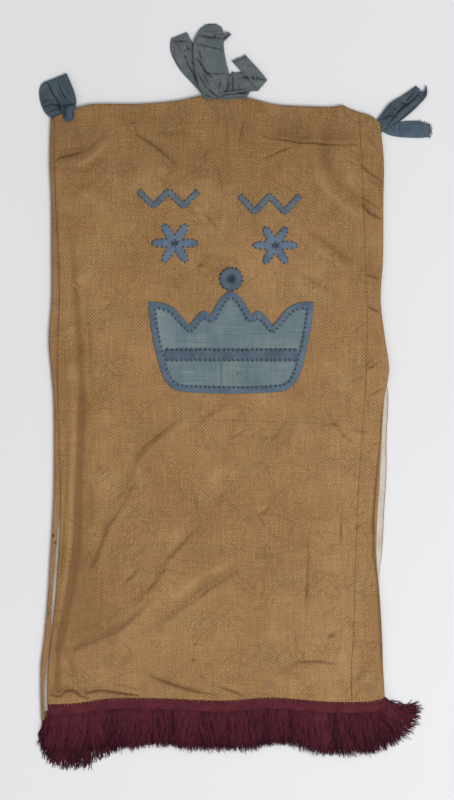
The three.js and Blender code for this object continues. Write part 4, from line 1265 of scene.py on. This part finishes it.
def crown_patch():
    turns, rim = crown_rim(BORDER_WIDTH * 0.55)
    radii = np.linspace(0.02, 1, 50)[:, None] * rim
    places = (CROWN_MIDDLE[0] + radii * np.cos(turns), CROWN_MIDDLE[1] + radii * np.sin(turns))
    # The pulled threads sink in, and shade is painted along them.
    wear = sum(
        strength * bell(places[axis] - place, width) * ramp(places[1 - axis], start, whole)
        for axis, place, width, strength, start, whole in CROWN_PULLS
    )
    levels = 0.95 + uneven(*places, (0.12, 11, 51), (0.1, 5, 52)) - 0.35 * wear
    piece = polar_piece(
        "crown_patch_cloth", CROWN_MIDDLE, radii, turns, levels, PATCH_THICKNESS, faded_blue,
        "crown_cloth", "crown_patch", wear,
    )


def finer_ring(values, times, lap):
    """Values round a ring, with more places between them. One round lowers them by a lap."""
    count = len(values)
    return np.interp(np.arange(count * times) / times, np.arange(count + 1), [*values, values[0] - lap])


def pinched(ring):
    """Between -1 and 1 along a closed line, lowest between stitches and highest where one pulls it in."""
    steps = np.linalg.norm(np.diff(ring, axis=1, append=ring[:, :1]), axis=0)
    run = np.cumsum(steps) - steps[0]
    count = round(steps.sum() / STITCH_PITCH)
    return -np.cos(2 * np.pi * count * run / steps.sum())


def crown_border():
    """The ribbon round the crown, folded at its corners, over the patch's edge."""
    turns, outer = crown_rim()
    inner = crown_rim(BORDER_WIDTH)[1]
    shares = np.linspace(0, 1, 8)[:, None]
    turns = finer_ring(turns, 3, 2 * np.pi)
    outer, inner = finer_ring(outer, 3, 0), finer_ring(inner, 3, 0)
    inner = inner + 0.5 * pinched(np.stack([inner * np.cos(turns), inner * np.sin(turns)])) - 0.25
    outer = outer + 0.25 * rumple(40 * np.cos(turns), 40 * np.sin(turns), 3, 62)
    radii = mix(outer, inner, shares)
    x = CROWN_MIDDLE[0] + radii * np.cos(turns)
    y = CROWN_MIDDLE[1] + radii * np.sin(turns)
    levels = 1.15 + 0.75 * ramp(shares, 0.2, 0.55) + 0.3 * np.sin(np.pi * shares)
    upper = on_front(x, y, levels + 0.12 * rumple(x, y, 6, 61))
    under = upper[[-1, 4, 0]] - np.array([0.65, 0.8, 0.8])[:, None, None] * (0, 0, 1)
    points, faces = looped(np.transpose(np.concatenate([upper, under]), (1, 0, 2)))
    run = np.cumsum(np.hypot(*np.gradient(np.stack([x[0], y[0]]), axis=1)))
    across = np.concatenate([shares.ravel() * BORDER_WIDTH, [BORDER_WIDTH, BORDER_WIDTH / 2, 0]])
    piece = make_piece(
        "crown_border_ribbon", points, faces, ribbons["border_ribbon"], "crown_ribbon", ["crown_border"],
        weave=points_at(across[None, :], run[:, None]).reshape(-1, 3),
    )


def mitres_of(line, width):
    """From each point of a strip's middle line to the strip's left edge there."""
    ways = unit(np.diff(line, axis=0))
    before, after = np.vstack([ways[:1], ways]), np.vstack([ways, ways[-1:]])
    across = unit(before + after)
    reach = width / 2 / np.einsum("ij,ij->i", across, before)
    return np.stack([-across[:, 1], across[:, 0]], -1) * reach[:, None]


def strip_edges(line, width):
    """The closed outline of a mitred strip."""
    aside = mitres_of(line, width)
    return np.vstack([line - aside, (line + aside)[::-1]])


def along_line(line, run, at):
    """Points of a line at lengths along it, where run is how far along its own points are."""
    return np.stack([np.interp(at, run, line[:, k]) for k in (0, 1)], -1)


def strip_piece(name, line, width, levels, material, slot, node, cells=8):
    """A ribbon of one width laid along a line of straight stretches, mitred at their corners."""
    lengths = np.linalg.norm(np.diff(line, axis=0), axis=1)
    steps = [2 * max(1, round(length / STRIP_CELL / 2)) for length in lengths]
    run = np.concatenate([[0]] + [i + np.arange(1, n + 1) / n for i, n in enumerate(steps)])
    corners = np.arange(len(line))
    spine, aside = (along_line(points, corners, run)[:, None] for points in (line, mitres_of(line, width)))
    shares = np.linspace(-1, 1, cells + 1)
    x, y = np.moveaxis(spine + aside * shares[None, :, None], -1, 0)
    low, high = levels
    puffed = high - 0.45 * np.abs(shares) ** 4 + 0.1 * rumple(x, y, 5, 71)
    points, faces = closed_sheet(on_front(x, y, puffed), on_front(x, y, low))
    along = np.concatenate([[0], np.cumsum(np.repeat(lengths / steps, steps))])
    weave = points_at(shares[None, :] * width / 2, along[:, None])
    piece = make_piece(name, points, faces, material, slot, [node], weave=both_faces(weave))


def crown_band():
    ends = CROWN["x"] + np.array([-1, -0.5, 0, 0.5, 1]) * (BAND_HALF + 0.6)
    line = np.stack([ends, np.full_like(ends, BAND_MIDDLE)], -1)
    strip_piece(
        "crown_band_ribbon", line, BAND_WIDTH, (1.3, 2.0), ribbons["crown_ribbon"], "crown_ribbon",
        "crown_band", cells=12,
    )


def crown_ball():
    """A round of gathered ribbon with a hollow at its middle, painted dark there as shade."""
    turns = even_turns(120)
    profile = columns(
        "radius level",
        (0.4, 0.9), (1.6, 1.0), (2.8, 1.4), (4.4, 2.2), (6.4, 2.9), (8.8, 3.2), (11, 3.1), (13, 2.6),
        (14.5, 1.9), (15.4, 1.1),
    )
    radii = profile["radius"][:, None] * np.ones_like(turns)
    pleats = 0.28 * np.cos(22 * turns + 0.8 * np.sin(3 * turns)) * np.sin(np.pi * radii / 17)
    # Painted shade in the middle hollow and between the pleats.
    wear = 1.5 * bell(radii, 5.6) + 0.45 * np.maximum(-pleats, 0) / 0.28
    piece = polar_piece(
        "crown_ball_ribbon", BALL_MIDDLE, radii, turns, profile["level"][:, None] + pleats,
        ORNAMENT_THICKNESS, ribbons["ball_ribbon"], "blue_ribbon", "crown_ball", wear,
    )


# The zigzags by the middle of their top line, a stroke's width and the drop
ZIGZAGS = (
    ("zigzag_left", -64.0, 671.5, 19.6, 20.0),
    ("zigzag_right", 69.5, 665.5, 19.8, 22.0),
)
# The rosettes by their middle and their half sizes
ROSETTES = (
    ("rosette_left", -55.5, 603.0, 31.0, 29.0),
    ("rosette_right", 77.0, 600.0, 30.0, 28.0),
)


def zigzag_line(x, y, pitch, drop, bend=4.5):
    """A zigzag of four strokes with rounded corners."""
    corners = np.array([(x + (i - 2) * pitch, y - (drop if i % 2 else 0)) for i in range(5)])
    line = [corners[:1]]
    for before, corner, after in zip(corners, corners[1:], corners[2:]):
        enter = corner + (before - corner) * bend / np.linalg.norm(before - corner)
        leave = corner + (after - corner) * bend / np.linalg.norm(after - corner)
        line += [enter[None], curve_between(enter, corner, leave, 5)]
    return np.vstack([*line, corners[-1:]])


def petals(turns):
    return 0.7 + 0.3 * np.cos(6 * turns)


def rosette(name, x0, y0, half_width, half_height):
    turns = even_turns(180)
    way_x, way_y = half_width * np.cos(turns), half_height * np.sin(turns)
    shares = np.concatenate([np.linspace(0.04, 0.93, 20), [0.97, 1.0]])[:, None]
    radii = shares * np.hypot(way_x, way_y) * petals(turns)
    folds = np.cos(6 * turns) * np.sin(np.pi * shares) ** 0.7
    levels = 1.35 + 0.25 * folds - 0.5 * ramp(shares, 0.9, 1.0) - 0.35 * bell(shares, 0.13)
    # Painted shade in the dip at the middle and in the valleys between the petals.
    valleys = 0.5 * bell(1 + np.cos(6 * turns), 0.1) * ramp(shares, 0.95, 0.3)
    wear = 1.1 * bell(shares, 0.1) + valleys
    piece = polar_piece(
        name + "_ribbon", (x0, y0), radii, np.arctan2(way_y, way_x), levels, ORNAMENT_THICKNESS,
        ribbons["blue_ribbon"], "blue_ribbon", name, wear,
    )


# A whip stitch, from inside the ribbon to the cloth outside it
WHIP = columns(
    "across along lift width",
    (2.6, -0.7, -0.4, 0.7),
    (1.9, -0.42, 0.25, 1.0),
    (1.0, -0.14, 0.3, 1.0),
    (0.1, 0.14, 0.1, 1.0),
    (-0.8, 0.42, -0.2, 0.9),
    (-1.2, 0.7, -0.5, 0.6),
)


def even_places(line, pitch, closed):
    """Points at one pitch along a line, with the way that it runs there."""
    line = np.array(line, float)
    if closed:
        line = np.vstack([line, line[:1]])
    run = np.concatenate([[0], np.cumsum(np.linalg.norm(np.diff(line, axis=0), axis=1))])
    count = max(2, round(run[-1] / pitch))
    at = (np.arange(count) + 0.5) * run[-1] / count
    places, ahead, behind = (along_line(line, run, at + step) for step in (0, 0.4, -0.4))
    return places, unit(ahead - behind)


def whip_stitches(line, inward, high, low, seed, closed=True, width=1.5, pitch=STITCH_PITCH, reach=1.0):
    """Slanting stitches over an edge: from inside the ribbon, over its edge and into the cloth below."""
    chance = np.random.default_rng(seed)
    places, ways = even_places(line, pitch, closed)
    into = np.stack([-ways[:, 1], ways[:, 0]], -1) * inward
    count = len(places)
    across = WHIP["across"] * reach + chance.normal(0, 0.25, (count, 1))
    along = WHIP["along"] * chance.uniform(0.6, 1.4, (count, 1)) + chance.normal(0, 0.35, (count, 1))
    spots = into[:, None, :] * across[..., None] + ways[:, None, :] * along[..., None]
    x, y = np.moveaxis(places[:, None, :] + spots, -1, 0)
    lines = on_front(x, y, mix(low, high, ramp(across, -0.9, 0.7)) + WHIP["lift"])
    return lines, width * chance.uniform(0.85, 1.15, (count, 1)) * WHIP["width"]


def stitch_mesh(name, groups, material, slot):
    """Several groups of stitches as one piece."""
    lines, widths = (np.concatenate(parts) for parts in zip(*groups))
    points, faces = threads(lines, widths, STITCH_SECTION)
    run = np.cumsum(np.linalg.norm(np.diff(lines, axis=1, prepend=lines[:, :1]), axis=-1), axis=1)
    sides = len(STITCH_SECTION)
    weave = points_at(np.tile(np.arange(sides, dtype=float), run.size), np.repeat(run.ravel(), sides))
    make_piece(name, points, faces, material, slot, weave=weave)


def crown_line(inset):
    turns, radii = crown_rim(inset)
    return np.stack([CROWN_MIDDLE[0] + radii * np.cos(turns), CROWN_MIDDLE[1] + radii * np.sin(turns)], -1)


def oval_line(x0, y0, half_width, half_height, sizes):
    """A closed line round a middle, with a share of the oval's reach for each of its even turns."""
    turns = even_turns(len(sizes))
    return np.stack([x0 + half_width * sizes * np.cos(turns), y0 + half_height * sizes * np.sin(turns)], -1)


def dark_stitches():
    petalled, plain = petals(even_turns(240)), np.ones(90)
    ball = CROWN["ball"] - BALL_STITCH_INSET
    groups = [whip_stitches(crown_line(BORDER_WIDTH), 1, high=1.9, low=1.05, seed=81)]
    for way in (-1, 1):
        edge = [(CROWN["x"] + end * BAND_HALF, BAND_MIDDLE + way * BAND_WIDTH / 2) for end in (-1, 1)]
        groups.append(whip_stitches(edge, -way, high=2.0, low=1.1, seed=82 + way, closed=False))
    outline = oval_line(*BALL_MIDDLE, ball, ball, plain)
    groups.append(whip_stitches(outline, 1, high=1.9, low=0.2, seed=85))
    for _, *sizes in ZIGZAGS:
        outline = strip_edges(zigzag_line(*sizes), ZIGZAG_WIDTH)
        groups.append(whip_stitches(outline, 1, high=1.15, low=0.2, seed=86, width=0.85, reach=0.55))
    for _, x0, y0, *halves in ROSETTES:
        outline = oval_line(x0, y0, *halves, petalled)
        groups.append(whip_stitches(outline, 1, high=1.3, low=0.2, seed=87, width=1.15, reach=0.7))
        eye = oval_line(x0, y0, ROSETTE_EYE, ROSETTE_EYE, plain)
        groups.append(whip_stitches(eye, 1, high=1.4, low=1.3, seed=88, pitch=4.4))
    stitch_mesh("dark_stitches", groups, dark_thread, "blue_ribbon")


def hem_stitches():
    """Short gold stitches that hold the fringe's heading to the hem."""
    chance = np.random.default_rng(91)
    starts = np.arange(-220.0, 221.0, 4.6)
    starts = (starts + chance.normal(0, 0.7, len(starts)))[:, None]
    lengths = chance.uniform(0.9, 2.3, starts.shape)
    share = np.linspace(-0.45, 1, 6)
    x = starts + chance.normal(0, 0.5, starts.shape) * share
    y = hem_of(x) - 0.3 - lengths * share
    z = 5.75 + np.array([-0.3, 0.15, 0.35, 0.4, 0.25, -0.15])
    widths = 0.6 * np.ones_like(x) * np.array([0.7, 1, 1, 1, 1, 0.6])
    stitch_mesh("hem_stitches", [(points_at(x, y, z), widths)], gold_thread, "gold_cloth")


crown_patch()
crown_border()
crown_band()
crown_ball()
for zigzag_name, *zigzag_sizes in ZIGZAGS:
    strip_piece(
        zigzag_name + "_ribbon", zigzag_line(*zigzag_sizes), ZIGZAG_WIDTH, (0.35, 1.25),
        ribbons["zigzag_ribbon"], "blue_ribbon", zigzag_name,
    )
for rosette_name, *rosette_sizes in ROSETTES:
    rosette(rosette_name, *rosette_sizes)
dark_stitches()
hem_stitches()


# The ties

TIES = {
    "left_tie_loop": (
        ((-205, 762, 2.6), (-192, 767, 2.6)),
        ((-223, 771, 1.8), (-205, 779, 2.2)),
        ((-232, 786, 0.7), (-199, 797, 0.7)),
        ((-234.5, 805, 0.7), (-199, 821, 0.7)),
        ((-230.5, 813.5, 1.6), (-198.5, 827, 1.6)),
        ((-224, 815, 3.4), (-197.5, 825, 3.4)),
        ((-217, 801, 4.6), (-190.5, 809, 4.4)),
        ((-209, 789, 5.0), (-186, 795, 4.6)),
        ((-206, 783, 6.6), (-185.5, 786, 6.6)),
        ((-204, 776, 7.0), (-186.5, 781, 7.0)),
    ),
    "left_tie_tail": (
        ((-203, 785, 8.6), (-190, 787, 8.6)),
        ((-203, 779, 8.6), (-189, 781, 8.4)),
        ((-203, 771, 7.4), (-188, 773, 7.2)),
        ((-201, 765.5, 7.0), (-189, 767, 6.9)),
        ((-198, 763, 6.9), (-192, 763.5, 6.7)),
    ),
    "middle_tie_long": (
        ((-15, 794, 8.2), (8, 792.5, 8.2)),
        ((-19, 801, 8.0), (13, 800, 8.0)),
        ((-23, 808, 7.4), (16, 808, 7.2)),
        ((-28, 826, 5.6), (16, 825, 5.0)),
        ((-31, 846, 4.2), (12, 843, 3.2)),
        ((-31, 866, 3.4), (9, 861, 2.0)),
        ((-26, 880, 2.4), (9, 877, 1.6)),
        ((-20, 888, 0.8), (6, 888, 0.8)),
        ((-12, 892.5, 0.8), (-2, 892.5, 0.8)),
    ),
    "middle_tie_curl": (
        ((-2, 879, 3.0), (-1, 870, 2.6)),
        ((7, 878, 3.2), (8, 869, 2.8)),
        ((12, 881, 2.8), (14, 873.5, 2.4)),
        ((16, 881.5, 2.0), (17.5, 877, 2.0)),
    ),
    "middle_tie_lobe": (
        ((-16, 793, 6.8), (-4, 793, 6.8)),
        ((-20, 800, 6.4), (-8, 801, 6.2)),
        ((-31, 812, 1.6), (-13, 813, 2.2)),
        ((-49, 832, 0.7), (-19, 832, 0.7)),
        ((-61, 856, 0.7), (-25, 855, 0.7)),
        ((-60, 873, 1.5), (-40, 881, 1.5)),
        ((-56, 869, 3.1), (-37, 877, 3.1)),
        ((-46, 857, 3.2), (-33, 862, 3.2)),
    ),
    "middle_tie_knot": (
        ((0, 798, 8.6), (3, 791.5, 8.4)),
        ((10, 801, 9.4), (12, 791.5, 9.2)),
        ((24, 803, 9.2), (25, 793, 9.0)),
        ((39, 805, 7.6), (38, 794.5, 7.4)),
    ),
    "middle_tie_flap": (
        ((12, 793, 6.6), (38, 793, 6.6)),
        ((13, 802, 6.1), (41, 798, 6.0)),
        ((14, 817, 2.4), (44, 803, 2.0)),
        ((20, 827, 0.7), (49, 803.5, 0.7)),
        ((44, 828, 0.7), (54, 804, 0.7)),
        ((66, 818, 1.7), (55, 805.5, 1.7)),
        ((62, 824, 3.0), (49, 811, 3.0)),
        ((38, 851, 2.4), (20, 843, 2.6)),
    ),
    "right_tie_upper": (
        ((206, 757, 2.2), (208, 741, 2.2)),
        ((218, 775, 2.6), (221, 752, 2.6)),
        ((229, 788, 3.0), (240, 763, 3.2)),
        ((245, 798, 2.4), (258, 777, 2.8)),
        ((263, 811, 0.9), (274, 793, 1.4)),
    ),
    "right_tie_curl": (
        ((264, 801, 2.6), (272, 792, 2.6)),
        ((271, 802, 2.8), (276.5, 797, 2.8)),
        ((274.5, 806, 2.8), (277.5, 804, 2.8)),
        ((275.2, 811, 2.6), (276.4, 810.8, 2.6)),
    ),
    "right_tie_lower": (
        ((219.5, 757, 0.7), (217.8, 750.5, 0.7)),
        ((227, 760, 0.7), (227, 745.8, 0.7)),
        ((240, 763, 0.7), (241, 743, 0.7)),
        ((258, 764.5, 0.7), (260, 742, 0.7)),
        ((268, 764, 0.7), (271, 742, 0.7)),
        ((280, 757.5, 0.7), (280.5, 743, 0.7)),
    ),
}

# Each tie's creases, for the stretch of its length that they belong to: from, until, and the creases
# by their left and right half widths, height, and the line's points.
TIE_CREASES = {
    "left_tie_loop": (
        (0.52, 2.0, (
            ("step", 3.0, 1.0, 1.2, ((-215, 808), (-208, 796), (-201, 786))),
            ("shade", 1.2, 2.6, -1.3, ((-218, 803), (-211, 792), (-204, 783))),
            ("streak 1", 1.6, 1.6, -1.3, ((-211, 815), (-204, 802), (-197, 790))),
            ("streak 2", 1.4, 1.4, -1.1, ((-205, 818), (-197, 803), (-192, 791))),
            ("streak 3", 1.4, 1.4, -1.0, ((-214, 811), (-208, 801), (-200, 788))),
            ("lower edge", 1.6, 1.8, -1.6, ((-204, 784), (-194, 785), (-187, 788))),
            ("edge", 1.6, 1.6, -0.8, ((-197, 815), (-190, 800), (-187, 790))),
        )),
        (-1.0, 0.42, (
            ("fold 1", 1.2, 2.0, -1.6, ((-231, 790), (-221, 793), (-208, 789))),
            ("fold 2", 1.2, 2.0, -1.5, ((-229, 783), (-218, 787), (-206, 784))),
            ("fold 3", 1.2, 1.8, -1.2, ((-225, 775), (-214, 780), (-204, 778))),
            ("hollow", 3.4, 3.4, -2.2, ((-213, 786), (-204, 781))),
            ("outer", 2.4, 2.4, -0.9, ((-230, 806), (-229, 792), (-224, 780))),
        )),
    ),
    "left_tie_tail": ((-1.0, 2.0, (
        ("lengthwise", 2.0, 2.0, 0.9, ((-195, 783), (-194, 772), (-194, 763))),
        ("lengthwise, left", 2.4, 2.4, -1.8, ((-201, 785), (-201, 768))),
        ("lengthwise, right", 1.4, 1.4, -1.0, ((-190, 781), (-190, 767))),
        ("top shadow", 2.0, 2.4, -2.2, ((-203, 784), (-188, 786))),
    )),),
    "middle_tie_long": ((-1.0, 2.0, (
        ("upper fold", 1.8, 1.2, -1.7, ((-27, 866), (-10, 862), (8, 858))),
        ("middle fold", 2.0, 1.4, -1.7, ((-18, 832), (-10, 827), (0, 826), (14, 827))),
        ("slant fold", 1.6, 2.4, -1.9, ((-27, 848), (-20, 838), (-14, 828), (-6, 822))),
        ("left pleat", 1.8, 1.8, -1.6, ((-24, 857), (-20, 843))),
        ("top band", 3.4, 2.4, -1.7, ((-24, 877), (-8, 874), (9, 876))),
        ("top crease", 1.4, 1.4, -1.2, ((-22, 884), (-8, 882), (4, 884))),
        ("gather 1", 1.4, 1.4, -1.5, ((0, 799), (3, 810), (4, 821))),
        ("base fold", 1.3, 1.8, -2.2, ((-6, 802), (0, 797), (6, 797), (13, 805), (16, 815))),
        ("base line", 1.2, 1.4, -1.4, ((-19, 799), (-8, 796), (2, 794))),
        ("gather 2", 1.4, 1.4, -1.3, ((-8, 799), (-11, 812), (-17, 824))),
        ("gather 3", 1.4, 1.4, -1.4, ((9, 799), (13, 812), (14, 826))),
        ("long fold", 2.0, 2.0, -1.4, ((-3, 798), (-16, 810), (-26, 828))),
        ("bulge", 5.0, 5.0, 1.4, ((-14, 812), (-4, 804), (8, 806))),
    )),),
    "middle_tie_lobe": ((-1.0, 2.0, (
        ("long fold", 1.8, 1.8, -1.8, ((-14, 802), (-26, 818), (-38, 838), (-42, 850))),
        ("lip", 1.3, 1.9, -1.7, ((-58, 869), (-46, 870), (-36, 868))),
        ("nick 1", 1.3, 1.3, -2.0, ((-41, 866), (-39, 860), (-34, 858))),
        ("nick 2", 1.4, 1.4, -1.9, ((-44, 852), (-41, 847))),
        ("nick 3", 1.5, 1.5, -2.2, ((-34, 842), (-28, 838), (-22, 836))),
        ("outer", 1.8, 1.8, -1.0, ((-56, 866), (-57, 850), (-48, 832))),
    )),),
    "middle_tie_curl": ((-1.0, 2.0, (
        ("curl", 1.2, 1.6, -1.6, ((-2, 874), (8, 873), (16, 879))),
    )),),
    "middle_tie_knot": ((-1.0, 2.0, (
        ("upper fold", 1.4, 1.8, -1.9, ((2, 796), (12, 799), (26, 800), (39, 802))),
        ("end fold", 1.8, 2.0, -2.4, ((26, 802), (34, 800.5), (40, 803))),
        ("lower fold", 1.4, 1.4, -1.0, ((6, 793.5), (20, 795), (36, 797))),
    )),),
    "right_tie_curl": ((-1.0, 2.0, (
        ("curl", 1.2, 1.2, -1.6, ((264, 797), (272, 798), (276, 806))),
    )),),
    "middle_tie_flap": ((-1.0, 2.0, (
        ("hinge", 1.9, 2.4, -2.0, ((34, 822), (48, 821), (63, 819))),
        ("upright 1", 1.5, 1.5, -1.6, ((22, 800), (20, 814), (21, 826))),
        ("upright 2", 1.4, 1.4, -1.2, ((31, 800), (28, 814))),
        ("notch", 1.5, 1.5, -0.9, ((40, 832), (43, 838), (40, 842))),
    )),),
    "right_tie_upper": ((-1.0, 2.0, (
        ("lengthwise 1", 1.5, 1.5, -2.0, ((270, 803), (252, 786), (238, 776), (224, 757))),
        ("lengthwise 2", 1.6, 1.6, -1.5, ((262, 806), (246, 784), (236, 771))),
        ("cross 1", 1.5, 1.5, -1.5, ((216, 766), (226, 771), (238, 770))),
        ("cross 2", 1.5, 1.5, -1.3, ((232, 782), (238, 778))),
        ("cross 3", 1.5, 1.5, -1.3, ((240, 790), (249, 786), (256, 790))),
        ("corner", 1.5, 1.5, -1.6, ((220, 753), (228, 755), (236, 764))),
        ("lower edge", 1.6, 1.6, -1.3, ((226, 752), (244, 768), (262, 785))),
    )),),
    "right_tie_lower": ((-1.0, 2.0, (
        ("fold line", 1.4, 1.4, -1.1, ((241, 745), (241, 762))),
        ("fold line, left", 1.4, 1.4, -1.0, ((233, 748), (234, 758))),
        ("edge", 1.6, 1.6, -0.8, ((240, 759), (262, 761), (276, 757))),
    )),),
}
TIE_LOOKS = {
    "left_tie_loop": "tie_ribbon_left",
    "left_tie_tail": "tie_ribbon_tail",
    "middle_tie_long": "tie_ribbon_middle",
    "middle_tie_lobe": "tie_ribbon_middle",
    "middle_tie_curl": "tie_ribbon_middle",
    "middle_tie_knot": "tie_ribbon_middle",
    "middle_tie_flap": "tie_ribbon_middle",
    "right_tie_upper": "tie_ribbon_right",
    "right_tie_curl": "tie_ribbon_right",
    "right_tie_lower": "tie_ribbon_bluer",
}
RIBBON_CELL = 0.9
RIBBON_THICKNESS = 0.8
TIE_SWELLS = ((0.35, 9, 95), (0.2, 4, 96))


def tie(name):
    rows = TIES[name]
    edges = [[row[k] for row in rows] for k in (0, 1)]
    length = np.linalg.norm(np.diff(np.mean(rows, axis=1), axis=0), axis=1).sum()
    width = np.linalg.norm(np.subtract(*edges), axis=1).mean()
    along, across = (2 * round(size / RIBBON_CELL / 2) for size in (length, width))
    v = np.linspace(0, 1, along + 1)
    u = np.linspace(0, 1, across + 1)
    left, right = spline(edges[0], v), spline(edges[1], v)
    grid = mix(left[:, None, :], right[:, None, :], u[None, :, None])
    x, y = grid[..., 0], grid[..., 1]
    creased = np.zeros_like(x)
    for first, last, creases in TIE_CREASES[name]:
        shown = ramp(v, first - 0.05, first + 0.05) * (1 - ramp(v, last - 0.05, last + 0.05))
        creased += folded(creases, x, y, 0.72, 0.3) * shown[:, None]
    run_across, run_along = cloth_lengths(grid)
    pleats = 0.5 * rumple(run_across, run_along / 5, 4.6, 97)
    pleats += 0.3 * rumple(run_across, run_along / 6, 2.5, 98)
    grid[..., 2] = np.maximum(grid[..., 2] + creased + pleats + uneven(x, y, *TIE_SWELLS), 0.6)
    points, faces = sheet_around(grid, RIBBON_THICKNESS)
    # Painted shade in the creases and between the pleats.
    hollow_darkening = np.maximum(-creased, 0) * 0.95 + np.maximum(-pleats, 0) * 0.8
    node = [name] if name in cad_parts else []
    piece = make_piece(
        name + "_ribbon", points, faces, ribbons[TIE_LOOKS[name]], "tie_ribbon", node,
        weave=both_faces(points_at(*cloth_lengths(grid))), wear=both_faces(hollow_darkening),
    )


# Frayed ends: the end's two corners, the way that its threads point in degrees, their length and count.
FRAYED_ENDS = (
    ((263, 811, 1.2), (274, 795, 1.6), 32, 2.4, 18),
    ((280, 757, 0.9), (280, 743, 0.9), 2, 4.5, 26),
    ((267, 764, 0.9), (280, 757, 0.9), 50, 4.0, 26),
    ((-17, 890, 1.0), (3, 891, 1.0), 92, 2.2, 18),
    ((15, 881, 2.0), (17, 878, 2.0), 20, 2.4, 6),
    ((38, 851, 2.6), (20, 843, 2.8), 122, 1.6, 12),
    ((15, 822, 2.0), (22, 828, 1.2), 110, 2.6, 12),
)


def frayed_threads():
    chance = np.random.default_rng(99)
    share = np.linspace(0, 1, 6)
    groups = []
    for start, stop, way, length, count in FRAYED_ENDS:
        roots = mix(np.array(start, float), np.array(stop, float), chance.uniform(0, 1, (count, 1)))
        leans = way + chance.normal(0, 22, (count, 1)) + chance.normal(0, 34, (count, 1)) * share
        leans = np.radians(leans)
        reach = length * chance.uniform(0.35, 1.15, (count, 1)) / (len(share) - 1)
        x, y = (
            roots[:, k, None] - reach * part(leans[:, :1]) + np.cumsum(reach * part(leans), 1)
            for k, part in enumerate((np.cos, np.sin))
        )
        z = roots[:, 2:] + 0.3 * chance.normal(0, 1, (count, 1)) * share
        widths = chance.uniform(0.5, 0.95, (count, 1)) * (1 - 0.4 * share)
        groups.append((points_at(x, y, np.maximum(z, 0.4)), widths))
    stitch_mesh("tie_frays", groups, fray_thread, "tie_ribbon")


for tie_name in TIES:
    tie(tie_name)
frayed_threads()


# Floor, light and camera

FLOOR_SIZE = 12
FLOOR_LEVEL = -0.0004
SKY = {"colour": (0.985, 0.99, 1.0, 1.0), "strength": 0.575}

bpy.ops.mesh.primitive_plane_add(size=FLOOR_SIZE, location=(0, 0, FLOOR_LEVEL))
floor = bpy.context.object
floor.name = "floor"
floor.data.materials.append(floor_finish())

world = bpy.data.worlds.new("studio")
bpy.context.scene.world = world
world.use_nodes = True
sky = world.node_tree.nodes["Background"]
sky.inputs["Color"].default_value = SKY["colour"]
sky.inputs["Strength"].default_value = SKY["strength"]


def lamp(name, place, target, size, power, colour):
    """A soft square light that faces a point, and isn't seen itself."""
    light = bpy.data.lights.new(name, "AREA")
    light.size = size
    light.energy = power
    light.color = colour
    holder = bpy.data.objects.new(name, light)
    holder.location = place
    holder.rotation_euler = (Vector(target) - Vector(place)).to_track_quat("-Z", "Y").to_euler()
    holder.visible_camera = False
    bpy.context.scene.collection.objects.link(holder)


lamp("key_light", place=(1.7, -0.95, 3.0), target=(0, 0, 0), size=1.7, power=70, colour=(1.0, 0.99, 0.975))

# The photograph's frame, in pixels and in millimetres of cloth
PHOTO_SIZE = (454, 800)
PIXEL = 1.32
HEM_PIXEL = (217, 700)
CAMERA_HEIGHT = 6.0
SENSOR = 36.0
frame_centre = (
    (PHOTO_SIZE[0] / 2 - HEM_PIXEL[0]) * PIXEL,
    (HEM_PIXEL[1] - PHOTO_SIZE[1] / 2) * PIXEL,
)
camera_data = bpy.data.cameras.new("camera")
camera_data.sensor_width = SENSOR
camera_data.lens = SENSOR * CAMERA_HEIGHT / (PHOTO_SIZE[1] * PIXEL * MM)
camera = bpy.data.objects.new("camera", camera_data)
camera.location = ((frame_centre[0] - SHIFT[0]) * MM, (frame_centre[1] - SHIFT[1]) * MM, CAMERA_HEIGHT)
bpy.context.scene.collection.objects.link(camera)
bpy.context.scene.camera = camera
bpy.context.scene.view_settings.view_transform = "Standard"
